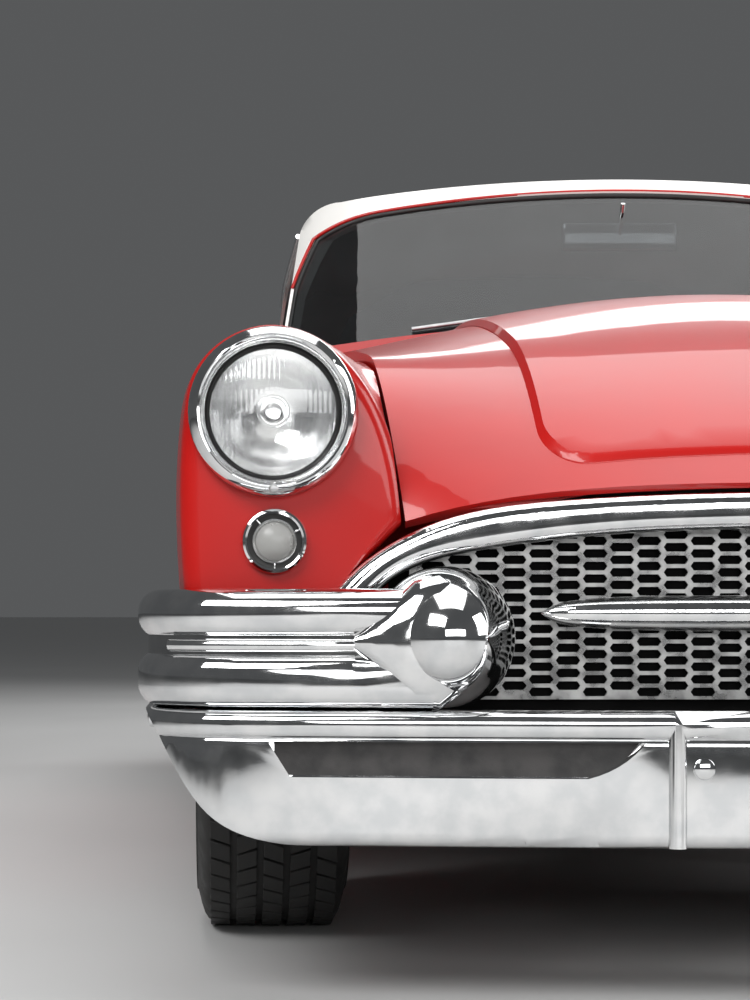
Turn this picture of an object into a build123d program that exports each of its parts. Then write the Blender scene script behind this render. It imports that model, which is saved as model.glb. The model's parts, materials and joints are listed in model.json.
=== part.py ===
from build123d import *
import os
from math import atan2, cos, degrees, hypot, radians, sin, sqrt, tan

# Sizes are millimetres, the car faces -Y and its right side is -X
# A station is a distance behind the foremost point of the front bumper

# Overall layout
CAR_LENGTH = 5250
WHEELBASE = 3099
FRONT_OVERHANG = 880
TRACK = 1560
FRONT_AXLE = FRONT_OVERHANG
REAR_AXLE = FRONT_OVERHANG + WHEELBASE

# Gaps and fits
SHUT_GAP = 6
SEAT_GAP = 0.3
PIN_CLEARANCE = 0.05

# Wheels and tyres
TYRE_RADIUS = 357
TYRE_WIDTH = 238
TREAD_WIDTH = 200
RIM_RADIUS = 190
RIM_WIDTH = 184
RIM_WALL = 14
DRUM_RADIUS = 140
DRUM_DEPTH = 70
COVER_RADIUS = 168
COVER_BULGE = 96
SPINDLE_RADIUS = 22
SPINDLE_REACH = 58
ARCH_RADIUS = 402

# Body side
FENDER_WALL = 30
DOOR_INNER_X = 772
DOOR_BELT_X = 736
DOOR_FRONT = 1761
DOOR_REAR = 3020
DOOR_BOTTOM = 300
FENDER_FRONT = 172
FENDER_REAR = DOOR_FRONT - SHUT_GAP
QUARTER_FRONT = DOOR_REAR + SHUT_GAP
QUARTER_REAR = 5115
FACE_PLATE = 34

# Hood and trunk lid edges
HOOD_EDGE_X = 612
HOOD_EDGE_Z = 634
HOOD_EDGE_SLOPE = 0.111
HOOD_WALL = 24
HOOD_REAR = 1640
LID_FRONT = 4151
LID_HALF = 590
LID_WALL = 24

# Grille surround, front views as (x, z)
SURROUND_FRONT = 118
SURROUND_DEPTH = 53.7
SURROUND_ROUND = 17
surround_outer = ((-716, 532), (-640, 602), (-560, 638), (-420, 661), (-163, 673),
                  (163, 673), (420, 661), (560, 638), (640, 602), (716, 532))
surround_inner = ((660, 532), (618, 567), (518, 596), (400, 612), (163, 624),
                  (-163, 624), (-400, 612), (-518, 596), (-618, 567), (-660, 532))

# Lamps
HEADLAMP_X = 790
HEADLAMP_Z = 781
HEADLAMP_LENS_RADIUS = 88
HEADLAMP_BEZEL_RADIUS = 113
HEADLAMP_HOLE_RADIUS = 97
LENS_DOME = 24
LENS_CURVE = 224
LENS_DEPTH = 36
PARKING_X = 788
PARKING_Z = 609
PARKING_RADIUS = 44
PARKING_LENS_RADIUS = 28
TAIL_X = 770
TAIL_Z = 720
TAIL_RADIUS = 62

# Greenhouse
ROOF_WALL = 34
GLASS_WALL = 5
GLASS_INSET = 12
BASE_Z = 930

# Cowl
COWL_Z = 1092
COWL_DROP = 50
COWL_HALF = 654
COWL_REAR_HALF = 782
COWL_REAR = 2005
FIREWALL = 22

# Floor and frame
FLOOR_Z = 316
FLOOR_WALL = 14
FLOOR_HALF = 758
TUNNEL_HALF = 112
TUNNEL_Z = 505
REAR_FLOOR_Z = 516
TRUNK_Z = 445
WHEELHOUSE_X = 592
TAIL_PANEL_FRONT = 5070
RAIL_X = 360
RAIL_WIDTH = 60
RAIL_BOTTOM = 205
RAIL_HEIGHT = 110

# Steering
KINGPIN_X = 664
KINGPIN_RADIUS = 14
COLUMN_X = 370
STEERING_RADIUS = 212
STEERING_GRIP = 12
COLUMN_TOP = 2260
COLUMN_TOP_Z = 925
COLUMN_RUN = 500
COLUMN_RISE = 270

# Door hinges
HINGE_X = 880
HINGE_STATION = 1701
HINGE_RADIUS = 9
HINGE_HEIGHTS = (430, 760)
STRAP_POCKET_X = 912
STRAP_POCKET_FRONT = 1672
STRAP_POCKET = 54
DOOR_EDGE_RADIUS = 85
DOOR_REACH = 1319.5
FENDER_LIP_Z = 400
TAIL_LIP_Z = 372

# Front bumper
BUMPER_HALF = 972
BUMPER_FRONT_X = 840
BUMPER_BOW = 55
BUMPER_FACE = 14
BUMPER_END = 430
PLATE_HOLE_X = 89
PLATE_HOLE_Z = 320
PLATE_HOLE_RADIUS = 3.2
REAR_PLATE_Z = 570
REAR_SHIFT = 16
BULLET_X = 567
BULLET_Z = 481
BUMPER_BOTTOM = 212
BUMPER_RIDGE_X = 278
BUMPER_RIDGE_RADIUS = 12
bar_columns = ("low", "high", "front_in", "depth", "soften")
face_bars = ((212, 362, 10, 34, 20), (350, 388, 2, 42, 17))
upright_bars = ((480, 545, 0, 44, 30), (388.3, 464, 0, 44, 30))
spear_bar = (458, 486, 14, 22)
POCKET_BAR = (290, 350, 0, 34, 2)
pocket_curve = ((318, 348), (333, 332), (391, 302))
pocket_corners = ((770, 302), (799, 348))
sweep_curve = ((748, 212), (800, 218), (867, 245), (925, 321), (985, 420))
sweep_corners = ((1100, 420), (1100, 100), (748, 100))

# Bullets
BULLET_REAR = 122
BULLET_BASE = 94
BULLET_RIM = 8
BULLET_DOME = 70
BULLET_NECK = 50
FLARE_MID = (79, 26)
BARS_INSIDE = 20
FAIRING_FRONT = 66
FAIRING_REAR = 110
FAIRING_DROP = 6
fairing_outline = ((14, -66), (128, -7), (128, 7), (14, 66))

# Grille mesh and bar
MESH_HALF = 608
MESH_FRONT = 172
MESH_WALL = 5
MESH_LOW = 398
MESH_HIGH = 632
MESH_RIM = 3
HEX_PITCH_X = 36
HEX_PITCH_Z = 16.8
HEX_LENGTH = 33
HEX_HEIGHT = 11.6
HEX_NIB = 4
HEX_START = 408
HEX_COLUMNS = 16
HEX_ROWS = 15
GRILLE_BAR_STATION = 147.9
GRILLE_BAR_Z = 513
grille_bar_half = ((-436, 0), (-418, 11), (-385, 18), (-320, 22), (0, 23),
                   (320, 22), (385, 18), (418, 11), (436, 0))

side_columns = ("station", "bottom", "wide", "shoulder", "top", "flange")
# The first rows, close together, shape the nose round the lamps
NOSE_ROWS = 4
NOSE_RADIUS = 26
NOSE_STEPS = 6
NOSE_RIM = ((700, 548), (716, 520), (716, 235))
BEZEL_SINK = 18
fender_rows = (
    (198, (896, 235), (910, 781), (875, 866), (705, 866), (612, 637)),
    (250, (899, 235), (914, 778), (878, 867), (702, 873), (622, 733)),
    (300, (902, 235), (917, 775), (880, 868), (700, 880), (630, 800)),
    (400, (904, 235), (919, 765), (876, 871), (698, 887), (636, 862)),
    (620, (906, 235), (923, 745), (866, 882), (694, 900), (640, 903)),
    (1080, (911, 235), (934, 715), (866, 905), (694, 940), (640, 950)),
    (1800, (915, 235), (940, 700), (872, 930), (712, 992), (640, 1010)),
)
door_rows = (
    (1755, (915, 235), (940, 700), (872, 930), (812, 988), None),
    (2400, (915, 235), (942, 700), (872, 932), (812, 988), None),
    (3026, (915, 235), (940, 700), (872, 930), (812, 988), None),
)
quarter_rows = (
    (3026, (915, 235), (940, 700), (872, 930), (812, 988), None),
    (3500, (915, 238), (940, 700), (870, 928), (772, 985), None),
    (3850, (913, 240), (938, 702), (868, 924), (668, 975), None),
    (4150, (910, 240), (934, 705), (866, 920), (606, 962), None),
    (4450, (904, 240), (928, 709), (860, 914), (600, 949), None),
    (4800, (892, 240), (915, 715), (850, 905), (600, 928), None),
    (5115, (862, 240), (885, 720), (822, 875), (600, 868), None),
)

hood_columns = ("x", "lip", "turn", "slope", "rear")
hood_rows = (
    (-665, (191, 617), (480, 891), 0.14, (1640, 1004)),
    (-360, (150, 679), (600, 930), 0.26, (1640, 1052)),
    (0, (132, 686), (650, 958), 0.31, (1640, 1080)),
    (360, (150, 679), (600, 930), 0.26, (1640, 1052)),
    (665, (191, 617), (480, 891), 0.14, (1640, 1004)),
)
# Raised middle of the hood
PANEL_HALF = 427
PANEL_FRONT = 188
PANEL_CORNER = 70
PANEL_RISE = 11
lid_columns = ("x", "front", "turn", "tail")
lid_rows = (
    (-660, (4151, 962), (4960, 905), (5100, 640)),
    (0, (4151, 985), (4985, 935), (5118, 640)),
    (660, (4151, 962), (4960, 905), (5100, 640)),
)

roof_columns = ("station", "base_x", "rail", "shoulder", "peak")
roof_rows = (
    (1500, 775, (705, 1300), (600, 1375), 1410),
    (2100, 768, (692, 1340), (600, 1414), 1460),
    (2800, 772, (702, 1345), (600, 1446), 1530),
    (3400, 770, (696, 1345), (585, 1428), 1505),
    (4300, 760, (650, 1250), (540, 1330), 1390),
)
# Plan outlines of the greenhouse at its base and above its peak
plan_columns = ("z", "front", "front_side", "front_corner", "rear_corner", "rear_side", "rear")
plan_rows = (
    (930, 1600, (560, 1662), (790, 1930), (800, 3300), (600, 3985), 4090),
    (1560, 2150, (500, 2200), (705, 2400), (715, 3000), (480, 3350), 3420),
)


def station_y(station):
    return station - CAR_LENGTH / 2


STAND = (Align.CENTER, Align.CENTER, Align.MIN)


def rows_of(columns, rows):
    return [dict(zip(columns, row)) for row in rows]


def block(x0, x1, s0, s1, z0, z1):
    size = Box(x1 - x0, s1 - s0, z1 - z0)
    return Pos((x0 + x1) / 2, station_y((s0 + s1) / 2), (z0 + z1) / 2) * size


def rod(start, end, radius):
    a = Vector(start[0], station_y(start[1]), start[2])
    b = Vector(end[0], station_y(end[1]), end[2])
    plane = Plane(origin=a, z_dir=b - a)
    return plane * Cylinder(radius, (b - a).length, align=STAND)


def unit(v):
    length = hypot(v[0], v[1])
    return (v[0] / length, v[1] / length)


def arc_step(p, q, heading):
    # Middle point and final heading of the arc that leaves p along heading and ends at q
    chord = (q[0] - p[0], q[1] - p[1])
    c = unit(chord)
    along = heading[0] * c[0] + heading[1] * c[1]
    off = (heading[0] - along * c[0], heading[1] - along * c[1])
    half = atan2(hypot(off[0], off[1]), along)
    rise = hypot(chord[0], chord[1]) / 2 * tan(half / 2)
    side = unit(off) if hypot(off[0], off[1]) > 1e-9 else (-c[1], c[0])
    rise = max(rise, 0.02)
    mid = ((p[0] + q[0]) / 2 + side[0] * rise, (p[1] + q[1]) / 2 + side[1] * rise)
    final = (2 * along * c[0] - heading[0], 2 * along * c[1] - heading[1])
    return mid, final


def chain_headings(points, heading):
    headings = [heading]
    for p, q in zip(points, points[1:]):
        headings.append(arc_step(p, q, headings[-1])[1])
    return headings


def offset_points(points, headings, amount):
    return [(p[0] - h[1] * amount, p[1] + h[0] * amount) for p, h in zip(points, headings)]


def arcs(points, headings, place):
    edges = []
    for p, q, heading in zip(points, points[1:], headings):
        mid = arc_step(p, q, heading)[0]
        edges.append(ThreePointArc(place(*p), place(*mid), place(*q)))
    return edges


def side_chain(row):
    # Points and headings of the body side, from the bottom up and over
    down = arc_step(row["wide"], row["bottom"], (0, -1))[1]
    upper = [row["wide"], row["shoulder"], row["top"]]
    if row["flange"]:
        upper.append(row["flange"])
    points = [row["bottom"]] + upper
    headings = [(-down[0], -down[1])] + chain_headings(upper, (0, 1))
    return points, headings


def smooth_edge(points, headings, place):
    # One smooth curve through a chain of points and the middles of their arcs
    run = [points[0]]
    for p, q, heading in zip(points, points[1:], headings):
        run += [arc_step(p, q, heading)[0], q]
    return Spline(*[place(*p) for p in run])


def side_wall(rows, wall):
    faces = []
    for row in rows_of(side_columns, rows):
        points, headings = side_chain(row)
        inner = offset_points(points, headings, wall)
        y = station_y(row["station"])
        place = lambda x, z, y=y: (x, y, z)
        edges = [smooth_edge(points, headings, place), smooth_edge(inner, headings, place)]
        edges += [Line(place(*points[-1]), place(*inner[-1])), Line(place(*inner[0]), place(*points[0]))]
        faces.append(make_face(edges))
    return loft(faces)


def door_block(rows):
    faces = []
    for row in rows_of(side_columns, rows):
        points, headings = side_chain(row)
        y = station_y(row["station"])
        place = lambda x, z, y=y: (x, y, z)
        belt = (DOOR_BELT_X, row["top"][1] - 6)
        foot = (DOOR_INNER_X, row["bottom"][1])
        edges = arcs(points, headings, place)
        edges.append(Line(place(*points[-1]), place(*belt)))
        edges.append(Line(place(*belt), place(*foot)))
        edges.append(Line(place(*foot), place(*points[0])))
        faces.append(make_face(edges))
    return loft(faces)


def mirrored(shape):
    return mirror(shape, about=Plane.YZ)


def biggest(shape):
    return max(shape.solids(), key=lambda s: s.volume)


def arch_cutter(axle, x0, x1):
    return Pos(x0, station_y(axle), TYRE_RADIUS) * Rot(0, 90, 0) * Cylinder(
        ARCH_RADIUS, x1 - x0, align=STAND)


def front_disc(x, z, radius, s0, s1):
    plane = Plane(origin=(x, station_y(s0), z), x_dir=(1, 0, 0), z_dir=(0, 1, 0))
    return plane * Cylinder(radius, s1 - s0, align=STAND)


def front_prism(points, s0, s1):
    y = station_y(s0)
    face = make_face(Polyline(*[(x, y, z) for x, z in points], close=True))
    return extrude(face, amount=s1 - s0, dir=(0, 1, 0))


def side_prism(points, x0, x1):
    face = make_face(Polyline(*[(x0, station_y(s), z) for s, z in points], close=True))
    return extrude(face, amount=x1 - x0, dir=(1, 0, 0))


def turned(points, x, z, station, toward_front=True):
    # A solid of revolution about a fore-and-aft axis, points are (radius, forward)
    y = station_y(station)
    sign = -1 if toward_front else 1
    face = make_face(Polyline(*[(x + r, y + sign * f, z) for r, f in points], close=True))
    return revolve(face, Axis((x, y, z), (0, 1, 0)), 360)


# Front fenders
def nose_face(inset, station):
    row = rows_of(side_columns, fender_rows)[0]
    points, headings = side_chain(row)
    points = offset_points(points, headings, inset)
    y = station_y(station)
    place = lambda x, z: (x, y, z)
    edges = [smooth_edge(points, headings, place)]
    rim = [points[-1], *NOSE_RIM, points[0]]
    edges += [Line(place(*p), place(*q)) for p, q in zip(rim, rim[1:])]
    return make_face(edges)


def make_fender():
    wall = side_wall(fender_rows[:NOSE_ROWS], FENDER_WALL)
    wall += side_wall(fender_rows[NOSE_ROWS - 1:], FENDER_WALL)
    steps = [radians(90 * i / NOSE_STEPS) for i in range(NOSE_STEPS + 1)]
    turns = [(NOSE_RADIUS * (1 - sin(a)), NOSE_RADIUS * (1 - cos(a))) for a in steps]
    faces = [nose_face(inset, FENDER_FRONT + back) for inset, back in turns]
    nose = loft(faces, ruled=True) + extrude(faces[-1], amount=FACE_PLATE - NOSE_RADIUS, dir=(0, 1, 0))
    fender = wall + nose
    fender -= hood_wedge(SHUT_GAP, HOOD_REAR + SHUT_GAP) & block(0, 1000, 0, 2000, 560, 1200)
    fender -= block(0, COWL_HALF + SEAT_GAP, HOOD_REAR, 2000, 560, 1200)
    fender -= arch_cutter(FRONT_AXLE, 500, 1000)
    fender -= block(500, 1000, 100, FRONT_AXLE, 200, FENDER_LIP_Z)
    fender -= front_disc(HEADLAMP_X, HEADLAMP_Z, HEADLAMP_HOLE_RADIUS, 100, 300)
    seat = HEADLAMP_BEZEL_RADIUS + SEAT_GAP
    fender -= front_disc(HEADLAMP_X, HEADLAMP_Z, seat, 0, FENDER_FRONT + BEZEL_SINK)
    fender -= front_disc(PARKING_X, PARKING_Z, PARKING_RADIUS - 6, 100, 300)
    fender -= block(500, 1000, FENDER_REAR, 1900, 200, 1100) - hinge_drum(DOOR_EDGE_RADIUS - SHUT_GAP)
    fender -= block(500, 1000, FENDER_REAR, 1900, 200, DOOR_BOTTOM)
    for z in HINGE_HEIGHTS:
        low, high = z - STRAP_POCKET, z + STRAP_POCKET
        fender -= block(HINGE_X, STRAP_POCKET_X, STRAP_POCKET_FRONT, DOOR_REAR, low, high)
    return biggest(fender)


# Doors turn about a hinge line ahead of their front edge, so that edge is a drum about it
def hinge_drum(radius):
    tall = Cylinder(radius, 1100, align=STAND)
    return Pos(HINGE_X, station_y(HINGE_STATION), 0) * tall


def hinge_ring():
    rings = None
    for z in HINGE_HEIGHTS:
        ring = rod((HINGE_X, HINGE_STATION, z - 25), (HINGE_X, HINGE_STATION, z + 25), HINGE_RADIUS + 8)
        strap = Box(16, 114, 36, align=(Align.CENTER, Align.MIN, Align.CENTER))
        strap = Pos(HINGE_X, station_y(HINGE_STATION), z) * Rot(0, 0, 52) * strap
        ring = ring + strap
        ends = [(HINGE_X, HINGE_STATION, z + side) for side in (-60, 60)]
        ring -= rod(*ends, HINGE_RADIUS + PIN_CLEARANCE)
        rings = ring if rings is None else rings + ring
    return rings


def make_door(glass):
    door = door_block(door_rows)
    door &= block(700, 1000, DOOR_FRONT, DOOR_REAR, DOOR_BOTTOM, 1100)
    door -= hinge_drum(DOOR_EDGE_RADIUS)
    door -= block(700, COWL_REAR_HALF + 8, 1700, COWL_REAR + 20, 850, 1100)
    door &= hinge_drum(DOOR_REACH)
    door = door + hinge_ring()
    door -= glass
    return biggest(door)


# Sills
def make_sill():
    sill = door_block(door_rows) & block(700, 1000, DOOR_FRONT, DOOR_REAR, 0, DOOR_BOTTOM - SHUT_GAP)
    sill += block(FLOOR_HALF - 20, 800, DOOR_FRONT, DOOR_REAR, 235, DOOR_BOTTOM - SHUT_GAP)
    sill += block(FLOOR_HALF - 20, FLOOR_HALF, DOOR_FRONT, DOOR_REAR, 235, FLOOR_Z - SEAT_GAP)
    return biggest(sill)


# Rear quarters
def make_quarter():
    wall = side_wall(quarter_rows, FENDER_WALL)
    tail = rows_of(side_columns, quarter_rows)[-1]
    points, headings = side_chain(tail)
    y = station_y(QUARTER_REAR)
    place = lambda x, z: (x, y, z)
    edges = [smooth_edge(points, headings, place)]
    rim = [points[-1], (600, 240), points[0]]
    edges += [Line(place(*p), place(*q)) for p, q in zip(rim, rim[1:])]
    plate = extrude(make_face(edges), amount=FACE_PLATE, dir=(0, -1, 0))
    quarter = wall + plate
    quarter -= block(400, LID_HALF + SHUT_GAP, LID_FRONT - SHUT_GAP, 5300, 200, 1100)
    quarter -= arch_cutter(REAR_AXLE, 500, 1000)
    quarter -= block(500, 1000, REAR_AXLE, 5300, 200, TAIL_LIP_Z)
    quarter -= front_disc(TAIL_X, TAIL_Z, TAIL_RADIUS - 8, QUARTER_REAR - 100, QUARTER_REAR + 50)
    return biggest(quarter)


# Hood and trunk lid
def skin_face(x, points, headings, wall):
    inner = offset_points(points, headings, wall)
    place = lambda s, z: (x, station_y(s), z)
    edges = arcs(points, headings, place) + arcs(inner, headings, place)
    edges.append(Line(place(*points[-1]), place(*inner[-1])))
    edges.append(Line(place(*inner[0]), place(*points[0])))
    return make_face(edges)


def hood_wedge(gap, reach):
    # The hood is cut on both sides along a plane that leans outward
    low, high = 400, 1200
    half = [HOOD_EDGE_X + HOOD_EDGE_SLOPE * (z - HOOD_EDGE_Z) + gap for z in (low, high)]
    wedge = [(half[0], low), (half[1], high), (-half[1], high), (-half[0], low)]
    return front_prism(wedge, 0, reach)


def hood_skin(rise):
    faces = []
    for row in rows_of(hood_columns, hood_rows):
        heading = unit((1, row["slope"]))
        back = arc_step(row["turn"], row["lip"], (-heading[0], -heading[1]))[1]
        points = [row["lip"], row["turn"], row["rear"]]
        points = [(s, z + rise) for s, z in points]
        headings = [(-back[0], -back[1]), heading, arc_step(row["turn"], row["rear"], heading)[1]]
        faces.append(skin_face(row["x"], points, headings, -HOOD_WALL))
    return loft(faces)


def hood_panel():
    # Raised middle of the hood, with a bevelled edge along its sides and nose
    depth = HOOD_REAR + 2 * PANEL_CORNER - PANEL_FRONT
    middle = station_y(PANEL_FRONT + depth / 2)
    plan = Pos(0, middle, 0) * RectangleRounded(2 * PANEL_HALF, depth, PANEL_CORNER)
    panel = biggest(hood_skin(PANEL_RISE) & extrude(plan, amount=1500, dir=(0, 0, 1)))
    tops = [f for f in panel.faces() if f.normal_at().Z > 0.3]
    rear = station_y(HOOD_REAR - 5)
    walls = [f for f in panel.faces() if abs(f.normal_at().Z) < 0.05 and f.center().Y < rear]
    rims = [e for w in walls for e in w.edges()]
    crest = [e for f in tops for e in f.edges() if any(e.is_same(r) for r in rims)]
    return chamfer(crest, PANEL_RISE - 2)


def make_hood():
    hood = (hood_skin(0) + hood_panel()) & hood_wedge(0, HOOD_REAR + HOOD_WALL)
    half = biggest((hood - surround_room()) & block(-HOOD_REAR, 0, 0, 2 * HOOD_REAR, 0, HOOD_REAR))
    return biggest(half + mirrored(half))


def make_lid():
    faces = []
    for row in rows_of(lid_columns, lid_rows):
        heading = unit((1, -0.1))
        back = arc_step(row["turn"], row["front"], (-heading[0], -heading[1]))[1]
        points = [row["front"], row["turn"], row["tail"]]
        headings = [(-back[0], -back[1]), heading, arc_step(row["turn"], row["tail"], heading)[1]]
        faces.append(skin_face(row["x"], points, headings, -LID_WALL))
    return biggest(loft(faces) & block(-LID_HALF, LID_HALF, 4000, 5300, 300, 1200))


# Greenhouse volumes
def plan_face(row, inset):
    z = row["z"]
    place = lambda x, s: (x, station_y(s), z)
    side, corner = row["front_side"], row["front_corner"]
    rear_corner, rear_side = row["rear_corner"], row["rear_side"]
    front = row["front"] + inset
    rear = row["rear"] - inset
    side = (side[0] - inset * 0.3, side[1] + inset)
    corner = (corner[0] - inset, corner[1] + inset * 0.3)
    rear_corner = (rear_corner[0] - inset, rear_corner[1])
    rear_side = (rear_side[0] - inset * 0.4, rear_side[1] - inset)
    drop = side[1] - front
    slope = unit((side[0], 2 * drop))
    tail_mid = arc_step(rear_corner, rear_side, unit((-0.02, 1)))[0]
    nose_mid = arc_step(side, corner, slope)[0]
    flip = lambda p: (-p[0], p[1])
    edges = [
        ThreePointArc(place(*flip(side)), place(0, front), place(*side)),
        ThreePointArc(place(*side), place(*nose_mid), place(*corner)),
        Line(place(*corner), place(*rear_corner)),
        ThreePointArc(place(*rear_corner), place(*tail_mid), place(*rear_side)),
        ThreePointArc(place(*rear_side), place(0, rear), place(*flip(rear_side))),
        ThreePointArc(place(*flip(rear_side)), place(*flip(tail_mid)), place(*flip(rear_corner))),
        Line(place(*flip(rear_corner)), place(*flip(corner))),
        ThreePointArc(place(*flip(corner)), place(*flip(nose_mid)), place(*flip(side))),
    ]
    return make_face(edges)


def dome_face(row, inset):
    y = station_y(row["station"])
    place = lambda x, z: (x, y, z)
    base = (row["base_x"] - inset, BASE_Z - 40)
    rail = (row["rail"][0] - inset, row["rail"][1] - inset * 0.4)
    shoulder = (row["shoulder"][0] - inset * 0.7, row["shoulder"][1] - inset)
    peak = (0, row["peak"] - inset)
    up = unit((rail[0] - base[0], rail[1] - base[1]))
    mid = arc_step(rail, shoulder, up)[0]
    flip = lambda p: (-p[0], p[1])
    edges = [
        Line(place(*base), place(*rail)),
        ThreePointArc(place(*rail), place(*mid), place(*shoulder)),
        ThreePointArc(place(*shoulder), place(*peak), place(*flip(shoulder))),
        ThreePointArc(place(*flip(shoulder)), place(*flip(mid)), place(*flip(rail))),
        Line(place(*flip(rail)), place(*flip(base))),
        Line(place(*flip(base)), place(*base)),
    ]
    return make_face(edges)


def cabin_volume(inset):
    plans = [plan_face(row, inset) for row in rows_of(plan_columns, plan_rows)]
    domes = [dome_face(row, inset) for row in rows_of(roof_columns, roof_rows)]
    return loft(plans, ruled=True) & loft(domes)


# Window cutters, side outlines as (station, z)
windshield_outline = ((1400, 1000), (1940, 1000), (2085, 1325), (2030, 1425), (1900, 1500), (1400, 1500))
rear_outline = ((4300, 1015), (3830, 1015), (3560, 1300), (3480, 1440), (3700, 1560), (4300, 1560))
side_outline = ((1990, 900), (2125, 1318), (3060, 1318), (3330, 1200), (3480, 1000), (3480, 900))
glass_outline = ((1997, 900), (2130, 1311), (3058, 1311), (3322, 1194), (3472, 998), (3472, 900))


def make_roof(outer, inner, below):
    shell = outer - inner
    shell -= side_prism(windshield_outline, -900, 900)
    shell -= side_prism(rear_outline, -620, 620)
    shell -= side_prism(side_outline, 620, 900)
    shell -= side_prism(side_outline, -900, -620)
    for piece in below:
        shell -= piece
    return biggest(shell & block(-900, 900, 1400, 4300, BASE_Z, 1600))


# Wheels
def make_wheel(x, axle, outward):
    half = RIM_WIDTH / 2
    bore = SPINDLE_RADIUS + PIN_CLEARANCE
    points = [
        (bore, -DRUM_DEPTH), (DRUM_RADIUS, -DRUM_DEPTH), (DRUM_RADIUS, 20), (RIM_RADIUS - RIM_WALL, 20),
        (RIM_RADIUS - RIM_WALL, -half), (RIM_RADIUS, -half), (RIM_RADIUS, half),
        (RIM_RADIUS - RIM_WALL, half), (COVER_RADIUS, half - 22), (100, COVER_BULGE - 8), (0, COVER_BULGE),
        (0, SPINDLE_REACH + 4), (bore, SPINDLE_REACH + 4),
    ]
    return spun(points, x, axle, outward)


def make_tyre(x, axle, outward):
    half = TYRE_WIDTH / 2
    tread = TREAD_WIDTH / 2
    points = [
        (RIM_RADIUS, -86), (RIM_RADIUS, 86), (225, 102), (275, half), (320, half - 6), (345, tread + 6),
        (TYRE_RADIUS, tread - 10), (TYRE_RADIUS, 10 - tread), (345, -tread - 6), (320, 6 - half),
        (275, -half), (225, -102),
    ]
    return spun(points, x, axle, outward)


def spun(points, x, axle, outward):
    y = station_y(axle)
    edges = Polyline(*[(x + outward * a, y, TYRE_RADIUS + r) for r, a in points], close=True)
    return revolve(make_face(edges), Axis((x, y, TYRE_RADIUS), (1, 0, 0)), 360)


def make_knuckle():
    y = FRONT_AXLE
    x = TRACK / 2
    pin = rod((KINGPIN_X, y, 222), (KINGPIN_X, y, 492), KINGPIN_RADIUS)
    barrel = rod((KINGPIN_X, y, 275), (KINGPIN_X, y, 440), KINGPIN_RADIUS + 12)
    spindle = rod((KINGPIN_X, y, TYRE_RADIUS), (x + SPINDLE_REACH, y, TYRE_RADIUS), SPINDLE_RADIUS)
    plate = rod((x - DRUM_DEPTH - 13, y, TYRE_RADIUS), (x - DRUM_DEPTH - 6, y, TYRE_RADIUS), DRUM_RADIUS)
    arm = block(KINGPIN_X - 14, KINGPIN_X + 14, y, y + 150, 290, 310)
    return biggest(pin + barrel + spindle + plate + arm)


def make_front_suspension():
    solids = []
    for z in (238, 476):
        y = FRONT_AXLE
        boss = rod((KINGPIN_X, y, z - 14), (KINGPIN_X, y, z + 14), KINGPIN_RADIUS + 8)
        inner_x = RAIL_X + RAIL_WIDTH / 2
        plan = [(KINGPIN_X, y - 22), (KINGPIN_X, y + 22), (inner_x, y + 120), (inner_x, y + 70)]
        plan += [(KINGPIN_X - 60, y), (inner_x, y - 70), (inner_x, y - 120)]
        face = make_face(Polyline(*[(x, station_y(s), z - 10) for x, s in plan], close=True))
        arm = extrude(face, amount=20, dir=(0, 0, 1)) + boss
        arm -= rod((KINGPIN_X, y, z - 40), (KINGPIN_X, y, z + 40), KINGPIN_RADIUS + PIN_CLEARANCE)
        solids.append(biggest(arm))
    return solids


# Frame
def make_rail():
    low, high = RAIL_BOTTOM, RAIL_BOTTOM + RAIL_HEIGHT
    lower = [(190, 330), (480, 330), (620, low), (3450, low)]
    lower += [(3700, 400), (4250, 400), (4450, 330), (5060, 330)]
    upper = [(s, z + RAIL_HEIGHT) for s, z in reversed(lower)]
    half = RAIL_WIDTH / 2
    return side_prism(lower + upper, RAIL_X - half, RAIL_X + half)


def make_crossmembers():
    half = RAIL_X - RAIL_WIDTH / 2
    low, high = RAIL_BOTTOM + 10, RAIL_BOTTOM + 80
    solids = [block(-half, half, s - 40, s + 40, low, high) for s in (FRONT_OVERHANG, 1900, 3300)]
    solids.append(block(-half, half, 4980, 5040, 350, 420))
    tower = block(RAIL_X - 30, RAIL_X + 30, 750, 1010, RAIL_BOTTOM + RAIL_HEIGHT, 520)
    solids += [tower, mirrored(tower)]
    return solids


def as_compound(solids):
    flat = []
    for item in solids:
        flat += item.solids()
    return Compound(children=flat)


def both_sides(solid):
    return as_compound([solid, mirrored(solid)])


# Bumper bars follow one plan path round the corner
def bumper_path(x_from):
    bow = lambda x: BUMPER_BOW * (x / BUMPER_FRONT_X) ** 2
    heading = unit((BUMPER_FRONT_X, 2 * BUMPER_BOW))
    theta = (90 + degrees(atan2(heading[1], heading[0]))) / 2
    corner = (BUMPER_HALF, BUMPER_BOW + (BUMPER_HALF - BUMPER_FRONT_X) * tan(radians(theta)))
    side = (BUMPER_FRONT_X, BUMPER_BOW)
    mid = arc_step(side, corner, heading)[0]
    return x_from, bow, side, mid, corner


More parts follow.
